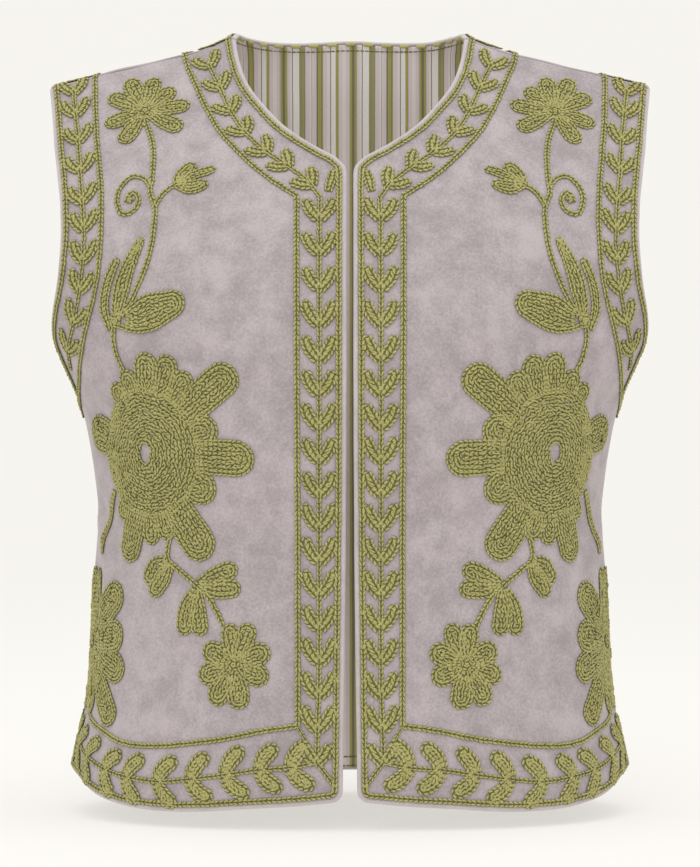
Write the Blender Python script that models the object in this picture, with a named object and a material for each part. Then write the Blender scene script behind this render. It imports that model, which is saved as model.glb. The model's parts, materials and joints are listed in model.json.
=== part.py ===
"""Embroidered waistcoat, worn open with no wearer: two fronts, a back and their linings.

The cloth follows one form, given by a table of level sections.  Each panel is cut on that form
in cloth coordinates: "across" is the distance from the centre line along the cloth, and "up"
is the height on the cloth, equal to z as far as the underarm and measured along the cloth above
it.  Metres, +Z up, the front faces -Y.  The origin is the middle of the wearer's neck, level
with the shoulders at the neck.
"""
import bmesh
import bpy
import numpy as np

# Cloth
SHELL_THICKNESS = 0.0016
LINING_THICKNESS = 0.0010
LAYER_GAP = 0.0003
SEAM_GAP = 0.0003

# Heights on the cloth
UNDERARM = -0.243
SHOULDER_REFERENCE = 0.13

# Form: level sections from below the hem up and over the shoulder.
# height and depth on the centre line, half width, fall of the shoulder, stand at the neck
FRONT_FORM = (
    (-0.5300, -0.124, 0.1865, 0.000, 0.0000),
    (-0.4900, -0.123, 0.1845, 0.000, 0.0000),
    (-0.4300, -0.118, 0.1735, 0.000, 0.0000),
    (-0.3600, -0.115, 0.1700, 0.000, 0.0000),
    (-0.3200, -0.116, 0.1675, 0.000, 0.0000),
    (-0.2800, -0.120, 0.1715, 0.000, 0.0000),
    (-0.2430, -0.122, 0.1805, 0.000, 0.0000),
    (-0.2000, -0.120, 0.2050, 0.020, 0.0000),
    (-0.1500, -0.108, 0.2270, 0.060, 0.0000),
    (-0.1040, -0.085, 0.2550, 0.130, 0.0000),
    (-0.0580, -0.054, 0.3100, 0.220, 0.0000),
    (-0.0270, -0.031, 0.3700, 0.260, 0.0010),
    (-0.0060, -0.015, 0.4200, 0.262, 0.0030),
    (0.0055, -0.005, 0.4500, 0.261, 0.0045),
    (0.0075, 0.006, 0.4500, 0.261, 0.0045),
)
BACK_FORM = (
    (-0.5300, 0.113, 0.1865, 0.000, 0.0000),
    (-0.4900, 0.112, 0.1845, 0.000, 0.0000),
    (-0.4300, 0.101, 0.1735, 0.000, 0.0000),
    (-0.3600, 0.090, 0.1700, 0.000, 0.0000),
    (-0.3200, 0.088, 0.1675, 0.000, 0.0000),
    (-0.2800, 0.094, 0.1715, 0.000, 0.0000),
    (-0.2430, 0.101, 0.1805, 0.000, 0.0000),
    (-0.2000, 0.106, 0.1965, 0.020, 0.0000),
    (-0.1500, 0.107, 0.2150, 0.080, 0.0000),
    (-0.0850, 0.098, 0.2450, 0.220, 0.0000),
    (-0.0300, 0.078, 0.3000, 0.340, 0.0000),
    (0.0062, 0.055, 0.3600, 0.375, 0.0020),
    (0.0095, 0.033, 0.4100, 0.320, 0.0050),
    (0.0095, 0.017, 0.4400, 0.280, 0.0055),
    (0.0075, 0.006, 0.4500, 0.261, 0.0045),
    (0.0055, -0.005, 0.4500, 0.261, 0.0045),
    (-0.0060, -0.015, 0.4200, 0.262, 0.0030),
)
SHOULDER_SEAM_ROW = -2
SQUARENESS = 2.2
NECK_POINT = 0.0757
NECK_STAND_REACH = 0.031
SHOULDER_ROUND = 0.05

# Outlines in cloth coordinates: across, up
HEM_CORNER = 0.008
CENTRE_TOP = (0.0021, -0.1110)
CENTRE_WAIST = (0.0025, -0.3100)
CENTRE_HEM = (0.0045, -0.4980)
NECK_CORNER = ((0.0021, -0.1110), (0.0031, -0.1003), (0.0095, -0.0928))
FRONT_NECK = ((0.0095, -0.0928), (0.0245, -0.0839), (0.0436, -0.0675), (0.0571, -0.0495),
              (0.0676, -0.0314), (0.0753, -0.0055))
NECK_TOP = 0.0778
FRONT_ARMHOLE = ((0.2280, -0.2415), (0.2215, -0.2355), (0.2200, -0.2260), (0.2195, -0.2140),
                 (0.2188, -0.2035), (0.2155, -0.1935), (0.2020, -0.1690), (0.1935, -0.1370),
                 (0.1916, -0.1050), (0.1950, -0.0700), (0.1988, -0.0434), (0.2028, -0.0120))
SHOULDER_TIP = 0.2060
FRONT_HEM = ((0.0316, -0.4999), (0.0635, -0.5022), (0.1105, -0.5055), (0.1483, -0.5045),
             (0.1799, -0.4995), (0.2080, -0.4910))
SIDE_HEM = -0.4865
BACK_HEM = ((0.190, -0.4925), (0.120, -0.4985), (0.060, -0.5000), (0.0, -0.5005))
BACK_NECK = ((0.0765, 0.0240), (0.0720, 0.0080), (0.0600, -0.0080), (0.0400, -0.0190),
             (0.0200, -0.0230), (0.0, -0.0240))
BACK_ARMHOLE = ((0.2085, -0.2415), (0.2010, -0.2340), (0.1975, -0.2220), (0.1945, -0.2000),
                (0.1920, -0.1650), (0.1920, -0.1200), (0.1950, -0.0700), (0.2000, -0.0250),
                (0.2045, 0.0120))

# Main folds: from across, up, to across, up, half width, height (below nought: a trough)
RIGHT_FOLDS = (
    (0.142, -0.335, 0.156, -0.432, 0.009, 0.0018),
    (0.128, -0.340, 0.137, -0.425, 0.010, -0.0012),
    (0.078, -0.218, 0.034, -0.268, 0.009, -0.0014),
    (0.080, -0.245, 0.040, -0.300, 0.010, 0.0010),
    (0.205, -0.330, 0.196, -0.420, 0.009, -0.0022),
    (0.224, -0.296, 0.170, -0.326, 0.007, -0.0020),
    (0.218, -0.310, 0.178, -0.346, 0.007, 0.0014),
    (0.160, -0.040, 0.157, -0.110, 0.008, -0.0014),
    (0.210, -0.236, 0.150, -0.262, 0.010, -0.0016),
    (0.060, -0.140, 0.120, -0.215, 0.016, 0.0012),
    (0.052, -0.440, 0.060, -0.350, 0.014, 0.0010),
)
LEFT_FOLDS = (
    (0.146, -0.330, 0.158, -0.440, 0.010, 0.0016),
    (0.130, -0.345, 0.134, -0.430, 0.009, -0.0014),
    (0.072, -0.222, 0.036, -0.262, 0.008, -0.0012),
    (0.085, -0.250, 0.036, -0.312, 0.011, 0.0011),
    (0.203, -0.345, 0.198, -0.428, 0.010, -0.0020),
    (0.225, -0.302, 0.176, -0.322, 0.007, -0.0018),
    (0.216, -0.318, 0.172, -0.352, 0.008, 0.0016),
    (0.161, -0.030, 0.158, -0.100, 0.007, -0.0012),
    (0.208, -0.238, 0.158, -0.258, 0.009, -0.0018),
    (0.055, -0.150, 0.112, -0.225, 0.017, 0.0010),
    (0.058, -0.446, 0.052, -0.360, 0.013, 0.0012),
)
BACK_FOLDS = (
    (0.020, -0.420, 0.034, -0.270, 0.014, -0.0022),
    (0.052, -0.450, 0.060, -0.290, 0.015, 0.0018),
    (-0.030, -0.435, -0.024, -0.280, 0.013, -0.0018),
    (-0.062, -0.452, -0.066, -0.300, 0.015, 0.0016),
    (0.212, -0.300, 0.120, -0.330, 0.008, -0.0020),
    (0.205, -0.318, 0.130, -0.352, 0.009, 0.0016),
    (-0.214, -0.296, -0.128, -0.322, 0.008, -0.0018),
    (-0.206, -0.314, -0.120, -0.346, 0.009, 0.0018),
    (0.185, -0.215, 0.100, -0.180, 0.012, -0.0016),
    (-0.186, -0.210, -0.108, -0.172, 0.012, -0.0018),
    (0.020, -0.060, 0.150, -0.075, 0.018, 0.0010),
    (-0.110, -0.380, -0.118, -0.455, 0.012, 0.0016),
    (0.116, -0.372, 0.110, -0.452, 0.012, 0.0014),
)

# Mesh: stations along each edge of a panel
SIDE_STATIONS = 12
ARMHOLE_STATIONS = 12
CENTRE_STATIONS = 16
CORNER_STATIONS = 2
NECK_STATIONS = 5
HEM_STATIONS = 11
BACK_SHOULDER_STATIONS = 4
BACK_NECK_STATIONS = 10

# Colours
VELVET_COLOUR = (0.50, 0.43, 0.44, 1.0)
LINING_COLOUR = (0.55, 0.50, 0.46, 1.0)

CHART_ROWS = 640
CHART_COLUMNS = 640
CHART_WIDTH = 0.32
SECTION_POINTS = 361


def clear_scene():
    for item in list(bpy.data.objects):
        bpy.data.objects.remove(item, do_unlink=True)


def smooth_through(where, knots, values):
    """A smooth curve through values at the knots."""
    slopes = np.gradient(values, knots, axis=0)
    i = np.clip(np.searchsorted(knots, where) - 1, 0, len(knots) - 2)
    step = (knots[i + 1] - knots[i])[:, None]
    f = ((where - knots[i]) / (knots[i + 1] - knots[i]))[:, None]
    rise = (1.0 + 2.0 * f) * (1.0 - f) ** 2 * values[i] + f ** 2 * (3.0 - 2.0 * f) * values[i + 1]
    bend = f * (1.0 - f) ** 2 * slopes[i] - f ** 2 * (1.0 - f) * slopes[i + 1]
    return rise + step * bend


def fall_across(x):
    """Share of the shoulder's fall at each distance from the centre, level at the centre."""
    return np.sqrt(x ** 2 + SHOULDER_ROUND ** 2) - SHOULDER_ROUND


def heights_on_cloth(form):
    """Height on the cloth of each section, walked along it above the underarm."""
    heights = []
    before = None
    for height, depth, half, fall, _ in form:
        narrow = (1.0 - (SHOULDER_REFERENCE / half) ** SQUARENESS) ** (1.0 / SQUARENESS)
        place = np.array((depth * narrow, height - fall * fall_across(SHOULDER_REFERENCE)))
        if not heights or heights[-1] < UNDERARM:
            heights.append(height)
        else:
            heights.append(heights[-1] + float(np.linalg.norm(place - before)))
        before = place
    return np.array(heights)


def make_chart(form, far_form):
    """Places on the form on an even grid of cloth coordinates, round to the far side."""
    knots = heights_on_cloth(form)
    ups = np.linspace(knots[0], knots[-1], CHART_ROWS)
    acrosses = np.linspace(0.0, CHART_WIDTH, CHART_COLUMNS)
    sections = smooth_through(ups, knots, np.array(form))
    far_ups = np.minimum(ups, UNDERARM)
    far = smooth_through(far_ups, heights_on_cloth(far_form), np.array(far_form))
    turn = np.radians(np.linspace(0.0, 180.0, SECTION_POINTS))
    out = np.abs(np.sin(turn)) ** (2.0 / SQUARENESS)
    deep = np.abs(np.cos(turn)) ** (2.0 / SQUARENESS)
    places = np.zeros((CHART_ROWS, CHART_COLUMNS, 3))
    for row, (height, depth, half, fall, stand) in enumerate(sections):
        level = ups[row] if ups[row] <= UNDERARM else height
        x = half * out
        y = np.where(turn <= np.pi / 2, depth, far[row, 1]) * deep
        rise = np.clip(1.0 - (x - NECK_POINT) / NECK_STAND_REACH, 0.0, 1.0) ** 2
        ring = np.stack((x, y, level - fall * fall_across(x) + stand * rise), axis=1)
        walked = np.concatenate(((0.0,), np.cumsum(np.linalg.norm(np.diff(ring, axis=0), axis=1))))
        for axis in range(3):
            places[row, :, axis] = np.interp(acrosses, walked, ring[:, axis])
    return {"ups": ups, "acrosses": acrosses, "places": places,
            "shoulder_seam": knots[SHOULDER_SEAM_ROW]}


def read_chart(chart, across, up):
    """The place of each point given in cloth coordinates."""
    ups = chart["ups"]
    acrosses = chart["acrosses"]
    places = chart["places"]
    row = (up - ups[0]) / (ups[1] - ups[0])
    column = np.abs(across) / (acrosses[1] - acrosses[0])
    i = np.clip(row.astype(int), 0, len(ups) - 2)
    j = np.clip(column.astype(int), 0, len(acrosses) - 2)
    f = (row - i)[..., None]
    g = (column - j)[..., None]
    low = places[i, j] * (1.0 - g) + places[i, j + 1] * g
    high = places[i + 1, j] * (1.0 - g) + places[i + 1, j + 1] * g
    found = low * (1.0 - f) + high * f
    found[..., 0] *= np.where(across < 0.0, -1.0, 1.0)
    return found


def side_across(chart, up):
    """Distance across to the side seam, where the form turns from front to back."""
    row = np.argmin(np.abs(chart["ups"] - up))
    depth = chart["places"][row, :, 1]
    turned = np.argmax(np.sign(depth) != np.sign(depth[0]))
    share = depth[turned - 1] / (depth[turned - 1] - depth[turned])
    return float(chart["acrosses"][turned - 1] + share * (chart["acrosses"][1]))


def outward(chart, across, up):
    """Unit normal of the form, pointing away from the wearer."""
    step = 0.0015
    along = read_chart(chart, across + step, up) - read_chart(chart, across - step, up)
    rise = read_chart(chart, across, up + step) - read_chart(chart, across, up - step)
    normal = np.cross(along, rise)
    normal /= np.linalg.norm(normal, axis=-1, keepdims=True)
    facing = np.sign(chart["places"][0, 0, 1]) * normal[..., 1:2]
    middle = np.abs(across) < SHOULDER_REFERENCE / 2
    flip = -1.0 if np.mean(facing[middle]) < 0.0 else 1.0
    return normal * flip


def fold_height(folds, across, up):
    """How far the folds lift each point off the form."""
    lift = np.zeros_like(across)
    for from_across, from_up, to_across, to_up, half_width, height in folds:
        run = np.array((to_across - from_across, to_up - from_up))
        length = np.linalg.norm(run)
        run /= length
        ahead = ((across - from_across) * run[0] + (up - from_up) * run[1]) / length
        aside = (across - from_across) * run[1] - (up - from_up) * run[0]
        taper = np.sin(np.pi * np.clip(ahead, 0.0, 1.0)) ** 2
        lift += height * taper * np.exp(-(aside / half_width) ** 2)
    return lift


def curve_points(points, count):
    """Evenly spaced points on a smooth curve through the given ones."""
    points = np.array(points, dtype=float)
    walked = np.concatenate(((0.0,), np.cumsum(np.linalg.norm(np.diff(points, axis=0), axis=1))))
    fine = smooth_through(np.linspace(0.0, walked[-1], 40 * count + 1), walked, points)
    walked = np.concatenate(((0.0,), np.cumsum(np.linalg.norm(np.diff(fine, axis=0), axis=1))))
    even = np.linspace(0.0, walked[-1], count + 1)
    return np.stack([np.interp(even, walked, fine[:, axis]) for axis in (0, 1)], axis=1)


def joined(*pieces):
    """One run of points from pieces that each start where the last one ended."""
    return np.concatenate([pieces[0]] + [piece[1:] for piece in pieces[1:]])


def hem_corner(corner, towards_hem):
    """Half of the rounded corner at the foot of a front, from its middle outwards."""
    middle = np.array(corner) + HEM_CORNER * (1.0 - np.sqrt(0.5))
    angles = np.radians((45.0, 22.5, 0.0))
    centre = np.array(corner) + HEM_CORNER
    offsets = np.stack((np.cos(angles), np.sin(angles)), axis=1)
    if towards_hem:
        offsets = offsets[:, ::-1]
    arc = centre - HEM_CORNER * offsets
    arc[0] = middle
    return arc


def fill_grid(low, high, inner, outer):
    """Points of a four-sided panel between its hem, top and two sides."""
    def shares(points):
        walked = np.concatenate(((0.0,), np.cumsum(np.linalg.norm(np.diff(points, axis=0), axis=1))))
        return walked / walked[-1]

    u = (0.5 * (shares(low) + shares(high)))[None, :, None]
    v = (0.5 * (shares(inner) + shares(outer)))[:, None, None]
    sides = (1.0 - u) * inner[:, None] + u * outer[:, None]
    ends = (1.0 - v) * low[None] + v * high[None]
    corners = ((1.0 - u) * (1.0 - v) * low[0] + u * (1.0 - v) * low[-1]
               + (1.0 - u) * v * high[0] + u * v * high[-1])
    return sides + ends - corners


def front_outline(chart):
    """Cloth coordinates of a front: a grid of points from the centre edge to the side."""
    gap = SEAM_GAP / 2
    seam = chart["shoulder_seam"] - gap
    underarm = (side_across(chart, UNDERARM) - gap, UNDERARM)
    side_heights = np.linspace(SIDE_HEM, UNDERARM, SIDE_STATIONS + 1)
    side = np.array([(side_across(chart, up) - gap, up) for up in side_heights])
    armhole = curve_points((underarm,) + FRONT_ARMHOLE + ((SHOULDER_TIP, seam),), ARMHOLE_STATIONS)
    to_centre = hem_corner(CENTRE_HEM, False)[[0, 2]]
    to_hem = hem_corner(CENTRE_HEM, True)[[0, 2]]
    centre = curve_points((to_centre[-1], CENTRE_WAIST, CENTRE_TOP), CENTRE_STATIONS)
    corner = curve_points(NECK_CORNER, CORNER_STATIONS)
    neck = curve_points(FRONT_NECK + ((NECK_TOP, seam),), NECK_STATIONS)
    hem = curve_points((to_hem[-1],) + FRONT_HEM + (tuple(side[0]),), HEM_STATIONS)
    shoulder = np.linspace(neck[-1], armhole[-1], HEM_STATIONS + 2)
    return fill_grid(joined(to_hem, hem), shoulder, joined(to_centre, centre, corner, neck),
                     joined(side, armhole))


def back_outline(chart):
    """Cloth coordinates of the back: a grid of points from one side to the other."""
    gap = SEAM_GAP / 2
    seam = chart["shoulder_seam"] - gap
    underarm = (side_across(chart, UNDERARM) - gap, UNDERARM)
    side_heights = np.linspace(SIDE_HEM, UNDERARM, SIDE_STATIONS + 1)
    side = np.array([(side_across(chart, up) - gap, up) for up in side_heights])
    armhole = curve_points((underarm,) + BACK_ARMHOLE + ((SHOULDER_TIP, seam),), ARMHOLE_STATIONS)
    right = joined(side, armhole)
    half_hem = (tuple(side[0]),) + BACK_HEM
    neck_point = (NECK_TOP, seam)
    half_neck = (neck_point,) + BACK_NECK
    mirror = np.array((-1.0, 1.0))
    hem_right = curve_points(half_hem, BACK_SHOULDER_STATIONS + BACK_NECK_STATIONS // 2)
    shoulder = np.linspace((SHOULDER_TIP, seam), neck_point, BACK_SHOULDER_STATIONS + 1)
    neck = curve_points(half_neck, BACK_NECK_STATIONS // 2)
    top_right = joined(shoulder, neck)
    low = joined(hem_right * mirror, hem_right[::-1])
    high = joined(top_right * mirror, top_right[::-1])
    return fill_grid(low, high, right * mirror, right)


def make_material(name, colour, roughness, sheen):
    material = bpy.data.materials.new(name)
    material.use_nodes = True
    shader = material.node_tree.nodes["Principled BSDF"]
    shader.inputs["Base Color"].default_value = colour
    shader.inputs["Roughness"].default_value = roughness
    shader.inputs["Metallic"].default_value = 0.0
    shader.inputs["Sheen Weight"].default_value = sheen
    return material


def make_wall(name, chart, folds, grid, depth, thickness, mirrored, material):
    """A panel of cloth whose outer face lies the given depth under the form."""
    rows, columns = grid.shape[:2]
    across = grid[..., 0]
    up = grid[..., 1]
    lift = fold_height(folds, across, up)[..., None]
    normal = outward(chart, across, up)
    face = read_chart(chart, across, up) + lift * normal
    if mirrored:
        face[..., 0] *= -1.0
        normal[..., 0] *= -1.0
    outer = (face - depth * normal).reshape(-1, 3)
    inner = (face - (depth + thickness) * normal).reshape(-1, 3)
    cloth = bmesh.new()
    made = bmesh.ops.create_grid(cloth, x_segments=columns - 1, y_segments=rows - 1, size=1.0)
    for vertex, place in zip(made["verts"], face.reshape(-1, 3)):
        vertex.co = place
    bmesh.ops.triangulate(cloth, faces=cloth.faces[:], quad_method="SHORT_EDGE")
    outer_sheet = cloth.verts[:] + cloth.edges[:] + cloth.faces[:]
    inner_sheet = bmesh.ops.duplicate(cloth, geom=outer_sheet)
    inner_vertices = [inner_sheet["vert_map"][vertex] for vertex in made["verts"]]
    for vertex, twin, high, low in zip(made["verts"], inner_vertices, outer, inner):
        vertex.co = high
        twin.co = low
    rims = [edge for edge in cloth.edges if edge.is_boundary]
    bmesh.ops.bridge_loops(cloth, edges=rims)
    bmesh.ops.triangulate(cloth, faces=[face for face in cloth.faces if len(face.verts) > 3])
    bmesh.ops.recalc_face_normals(cloth, faces=cloth.faces[:])
    mesh = bpy.data.meshes.new(name)
    cloth.to_mesh(mesh)
    cloth.free()
    mesh.shade_smooth()
    mesh.set_sharp_from_angle(angle=np.radians(50.0))
    mesh.materials.append(material)
    piece = bpy.data.objects.new(name, mesh)
    bpy.context.scene.collection.objects.link(piece)
    return piece


def build():
    clear_scene()
    velvet = make_material("velvet", VELVET_COLOUR, 0.85, 0.5)
    lining = make_material("lining", LINING_COLOUR, 0.70, 0.0)
    front = make_chart(FRONT_FORM, BACK_FORM)
    back = make_chart(BACK_FORM, FRONT_FORM)
    front_grid = front_outline(front)
    back_grid = back_outline(back)
    panels = (
        ("front_right", front, RIGHT_FOLDS, front_grid, True),
        ("front_left", front, LEFT_FOLDS, front_grid, False),
        ("back", back, BACK_FOLDS, back_grid, False),
    )
    for name, chart, folds, grid, mirrored in panels:
        make_wall("shell_" + name, chart, folds, grid, 0.0, SHELL_THICKNESS, mirrored, velvet)
        make_wall("lining_" + name, chart, folds, grid, SHELL_THICKNESS + LAYER_GAP,
                  LINING_THICKNESS, mirrored, lining)


build()
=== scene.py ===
"""Embroidered waistcoat: velvet shell, striped lining, chain-stitch embroidery and a pale stage.

Every panel is cut in cloth coordinates on the waistcoat's form.  "Across" is the distance from
the centre line along the cloth, and "up" is the height on the cloth.  Both are in metres.
Motifs are drawn flat in millimetres and laid on the cloth, x towards the front edge and y up.
"""
import json

import bmesh
import bpy
import numpy as np
from mathutils import Matrix, Vector

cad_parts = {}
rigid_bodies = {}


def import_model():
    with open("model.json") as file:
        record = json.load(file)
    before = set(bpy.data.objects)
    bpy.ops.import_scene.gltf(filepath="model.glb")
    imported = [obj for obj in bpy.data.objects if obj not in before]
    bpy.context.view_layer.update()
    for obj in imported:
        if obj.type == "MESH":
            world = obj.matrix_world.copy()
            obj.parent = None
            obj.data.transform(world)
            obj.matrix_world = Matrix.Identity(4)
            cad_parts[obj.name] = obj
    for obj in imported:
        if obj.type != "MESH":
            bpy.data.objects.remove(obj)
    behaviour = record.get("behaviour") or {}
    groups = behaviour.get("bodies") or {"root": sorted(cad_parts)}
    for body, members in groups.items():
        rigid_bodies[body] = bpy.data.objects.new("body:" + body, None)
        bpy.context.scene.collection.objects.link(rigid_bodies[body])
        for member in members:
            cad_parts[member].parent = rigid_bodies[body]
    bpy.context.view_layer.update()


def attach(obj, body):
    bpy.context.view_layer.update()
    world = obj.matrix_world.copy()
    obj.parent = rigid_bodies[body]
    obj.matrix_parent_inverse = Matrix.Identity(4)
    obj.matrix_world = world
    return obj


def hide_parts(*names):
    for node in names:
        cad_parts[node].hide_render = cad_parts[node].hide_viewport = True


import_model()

bl_info = {
    "name": "Embroidered waistcoat",
    "version": (1, 0, 0),
    "blender": (4, 5, 0),
    "location": "View3D > Sidebar > Waistcoat",
    "description": "Makes the cloth, lining, embroidery and stage of a worn waistcoat",
    "category": "Object",
}

# Form: level sections from below the hem up and over the shoulder.
# height and depth on the centre line, half width, fall of the shoulder, stand at the neck
FRONT_FORM = (
    (-0.5300, -0.124, 0.1865, 0.000, 0.0000),
    (-0.4900, -0.123, 0.1845, 0.000, 0.0000),
    (-0.4300, -0.118, 0.1735, 0.000, 0.0000),
    (-0.3600, -0.115, 0.1700, 0.000, 0.0000),
    (-0.3200, -0.116, 0.1675, 0.000, 0.0000),
    (-0.2800, -0.120, 0.1715, 0.000, 0.0000),
    (-0.2430, -0.122, 0.1805, 0.000, 0.0000),
    (-0.2000, -0.120, 0.2050, 0.020, 0.0000),
    (-0.1500, -0.108, 0.2270, 0.060, 0.0000),
    (-0.1040, -0.085, 0.2550, 0.130, 0.0000),
    (-0.0580, -0.054, 0.3100, 0.220, 0.0000),
    (-0.0270, -0.031, 0.3700, 0.260, 0.0010),
    (-0.0060, -0.015, 0.4200, 0.262, 0.0030),
    (0.0055, -0.005, 0.4500, 0.261, 0.0045),
    (0.0075, 0.006, 0.4500, 0.261, 0.0045),
)
BACK_FORM = (
    (-0.5300, 0.113, 0.1865, 0.000, 0.0000),
    (-0.4900, 0.112, 0.1845, 0.000, 0.0000),
    (-0.4300, 0.101, 0.1735, 0.000, 0.0000),
    (-0.3600, 0.090, 0.1700, 0.000, 0.0000),
    (-0.3200, 0.088, 0.1675, 0.000, 0.0000),
    (-0.2800, 0.094, 0.1715, 0.000, 0.0000),
    (-0.2430, 0.101, 0.1805, 0.000, 0.0000),
    (-0.2000, 0.106, 0.1965, 0.020, 0.0000),
    (-0.1500, 0.107, 0.2150, 0.080, 0.0000),
    (-0.0850, 0.098, 0.2450, 0.220, 0.0000),
    (-0.0300, 0.078, 0.3000, 0.340, 0.0000),
    (0.0062, 0.055, 0.3600, 0.375, 0.0020),
    (0.0095, 0.033, 0.4100, 0.320, 0.0050),
    (0.0095, 0.017, 0.4400, 0.280, 0.0055),
    (0.0075, 0.006, 0.4500, 0.261, 0.0045),
    (0.0055, -0.005, 0.4500, 0.261, 0.0045),
    (-0.0060, -0.015, 0.4200, 0.262, 0.0030),
)
SHOULDER_SEAM_ROW = -2
SQUARENESS = 2.2
UNDERARM = -0.243
SHOULDER_REFERENCE = 0.13
NECK_POINT = 0.0757
NECK_STAND_REACH = 0.031
SHOULDER_ROUND = 0.05

# Outlines in cloth coordinates: across, up
HEM_CORNER = 0.008
CENTRE_TOP = (0.0021, -0.1110)
CENTRE_WAIST = (0.0025, -0.3100)
CENTRE_HEM = (0.0045, -0.4980)
NECK_CORNER = ((0.0021, -0.1110), (0.0031, -0.1003), (0.0095, -0.0928))
FRONT_NECK = ((0.0095, -0.0928), (0.0245, -0.0839), (0.0436, -0.0675), (0.0571, -0.0495),
              (0.0676, -0.0314), (0.0753, -0.0055))
NECK_TOP = 0.0778
FRONT_ARMHOLE = ((0.2280, -0.2415), (0.2215, -0.2355), (0.2200, -0.2260), (0.2195, -0.2140),
                 (0.2188, -0.2035), (0.2155, -0.1935), (0.2020, -0.1690), (0.1935, -0.1370),
                 (0.1916, -0.1050), (0.1950, -0.0700), (0.1988, -0.0434), (0.2028, -0.0120))
SHOULDER_TIP = 0.2060
FRONT_HEM = ((0.0316, -0.4999), (0.0635, -0.5022), (0.1105, -0.5055), (0.1483, -0.5045),
             (0.1799, -0.4995), (0.2080, -0.4910))
SIDE_HEM = -0.4865
BACK_HEM = ((0.190, -0.4925), (0.120, -0.4985), (0.060, -0.5000), (0.0, -0.5005))
BACK_NECK = ((0.0765, 0.0240), (0.0720, 0.0080), (0.0600, -0.0080), (0.0400, -0.0190),
             (0.0200, -0.0230), (0.0, -0.0240))
BACK_ARMHOLE = ((0.2085, -0.2415), (0.2010, -0.2340), (0.1975, -0.2220), (0.1945, -0.2000),
                (0.1920, -0.1650), (0.1920, -0.1200), (0.1950, -0.0700), (0.2000, -0.0250),
                (0.2045, 0.0120))

# Main folds: from across, up, to across, up, half width, height (below nought: a trough)
RIGHT_FOLDS = (
    (0.142, -0.335, 0.156, -0.432, 0.009, 0.0018),
    (0.128, -0.340, 0.137, -0.425, 0.010, -0.0012),
    (0.078, -0.218, 0.034, -0.268, 0.009, -0.0014),
    (0.080, -0.245, 0.040, -0.300, 0.010, 0.0010),
    (0.205, -0.330, 0.196, -0.420, 0.009, -0.0022),
    (0.224, -0.296, 0.170, -0.326, 0.007, -0.0020),
    (0.218, -0.310, 0.178, -0.346, 0.007, 0.0014),
    (0.160, -0.040, 0.157, -0.110, 0.008, -0.0014),
    (0.210, -0.236, 0.150, -0.262, 0.010, -0.0016),
    (0.060, -0.140, 0.120, -0.215, 0.016, 0.0012),
    (0.052, -0.440, 0.060, -0.350, 0.014, 0.0010),
)
LEFT_FOLDS = (
    (0.146, -0.330, 0.158, -0.440, 0.010, 0.0016),
    (0.130, -0.345, 0.134, -0.430, 0.009, -0.0014),
    (0.072, -0.222, 0.036, -0.262, 0.008, -0.0012),
    (0.085, -0.250, 0.036, -0.312, 0.011, 0.0011),
    (0.203, -0.345, 0.198, -0.428, 0.010, -0.0020),
    (0.225, -0.302, 0.176, -0.322, 0.007, -0.0018),
    (0.216, -0.318, 0.172, -0.352, 0.008, 0.0016),
    (0.161, -0.030, 0.158, -0.100, 0.007, -0.0012),
    (0.208, -0.238, 0.158, -0.258, 0.009, -0.0018),
    (0.055, -0.150, 0.112, -0.225, 0.017, 0.0010),
    (0.058, -0.446, 0.052, -0.360, 0.013, 0.0012),
)
BACK_FOLDS = (
    (0.020, -0.420, 0.034, -0.270, 0.014, -0.0022),
    (0.052, -0.450, 0.060, -0.290, 0.015, 0.0018),
    (-0.030, -0.435, -0.024, -0.280, 0.013, -0.0018),
    (-0.062, -0.452, -0.066, -0.300, 0.015, 0.0016),
    (0.212, -0.300, 0.120, -0.330, 0.008, -0.0020),
    (0.205, -0.318, 0.130, -0.352, 0.009, 0.0016),
    (-0.214, -0.296, -0.128, -0.322, 0.008, -0.0018),
    (-0.206, -0.314, -0.120, -0.346, 0.009, 0.0018),
    (0.185, -0.215, 0.100, -0.180, 0.012, -0.0016),
    (-0.186, -0.210, -0.108, -0.172, 0.012, -0.0018),
    (0.020, -0.060, 0.150, -0.075, 0.018, 0.0010),
    (-0.110, -0.380, -0.118, -0.455, 0.012, 0.0016),
    (0.116, -0.372, 0.110, -0.452, 0.012, 0.0014),
)

# The turned edge: distance in from the edge, height of the outer face, height of the inner face
TURNED_EDGE = (
    (0.0000, -0.00130, -0.00165),
    (0.0005, -0.00030, -0.00240),
    (0.0012, 0.00045, -0.00250),
    (0.0021, 0.00060, -0.00190),
    (0.0032, 0.00000, -0.00160),
)
TURNED_EDGE_RINGS = 4
# The lining's edge, in from its own outline
LINING_EDGE = (
    (0.0000, -0.00215, -0.00240),
    (0.0008, -0.00190, -0.00285),
    (0.0020, -0.00190, -0.00300),
    (0.0040, -0.00190, -0.00275),
    (0.0060, -0.00190, -0.00290),
)
LINING_EDGE_RINGS = 2
SEAM_DEPTH = 0.0005
SEAM_REACH = 0.0011

CHART_ROWS = 640
CHART_COLUMNS = 640
CHART_WIDTH = 0.46
SECTION_POINTS = 361

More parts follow.
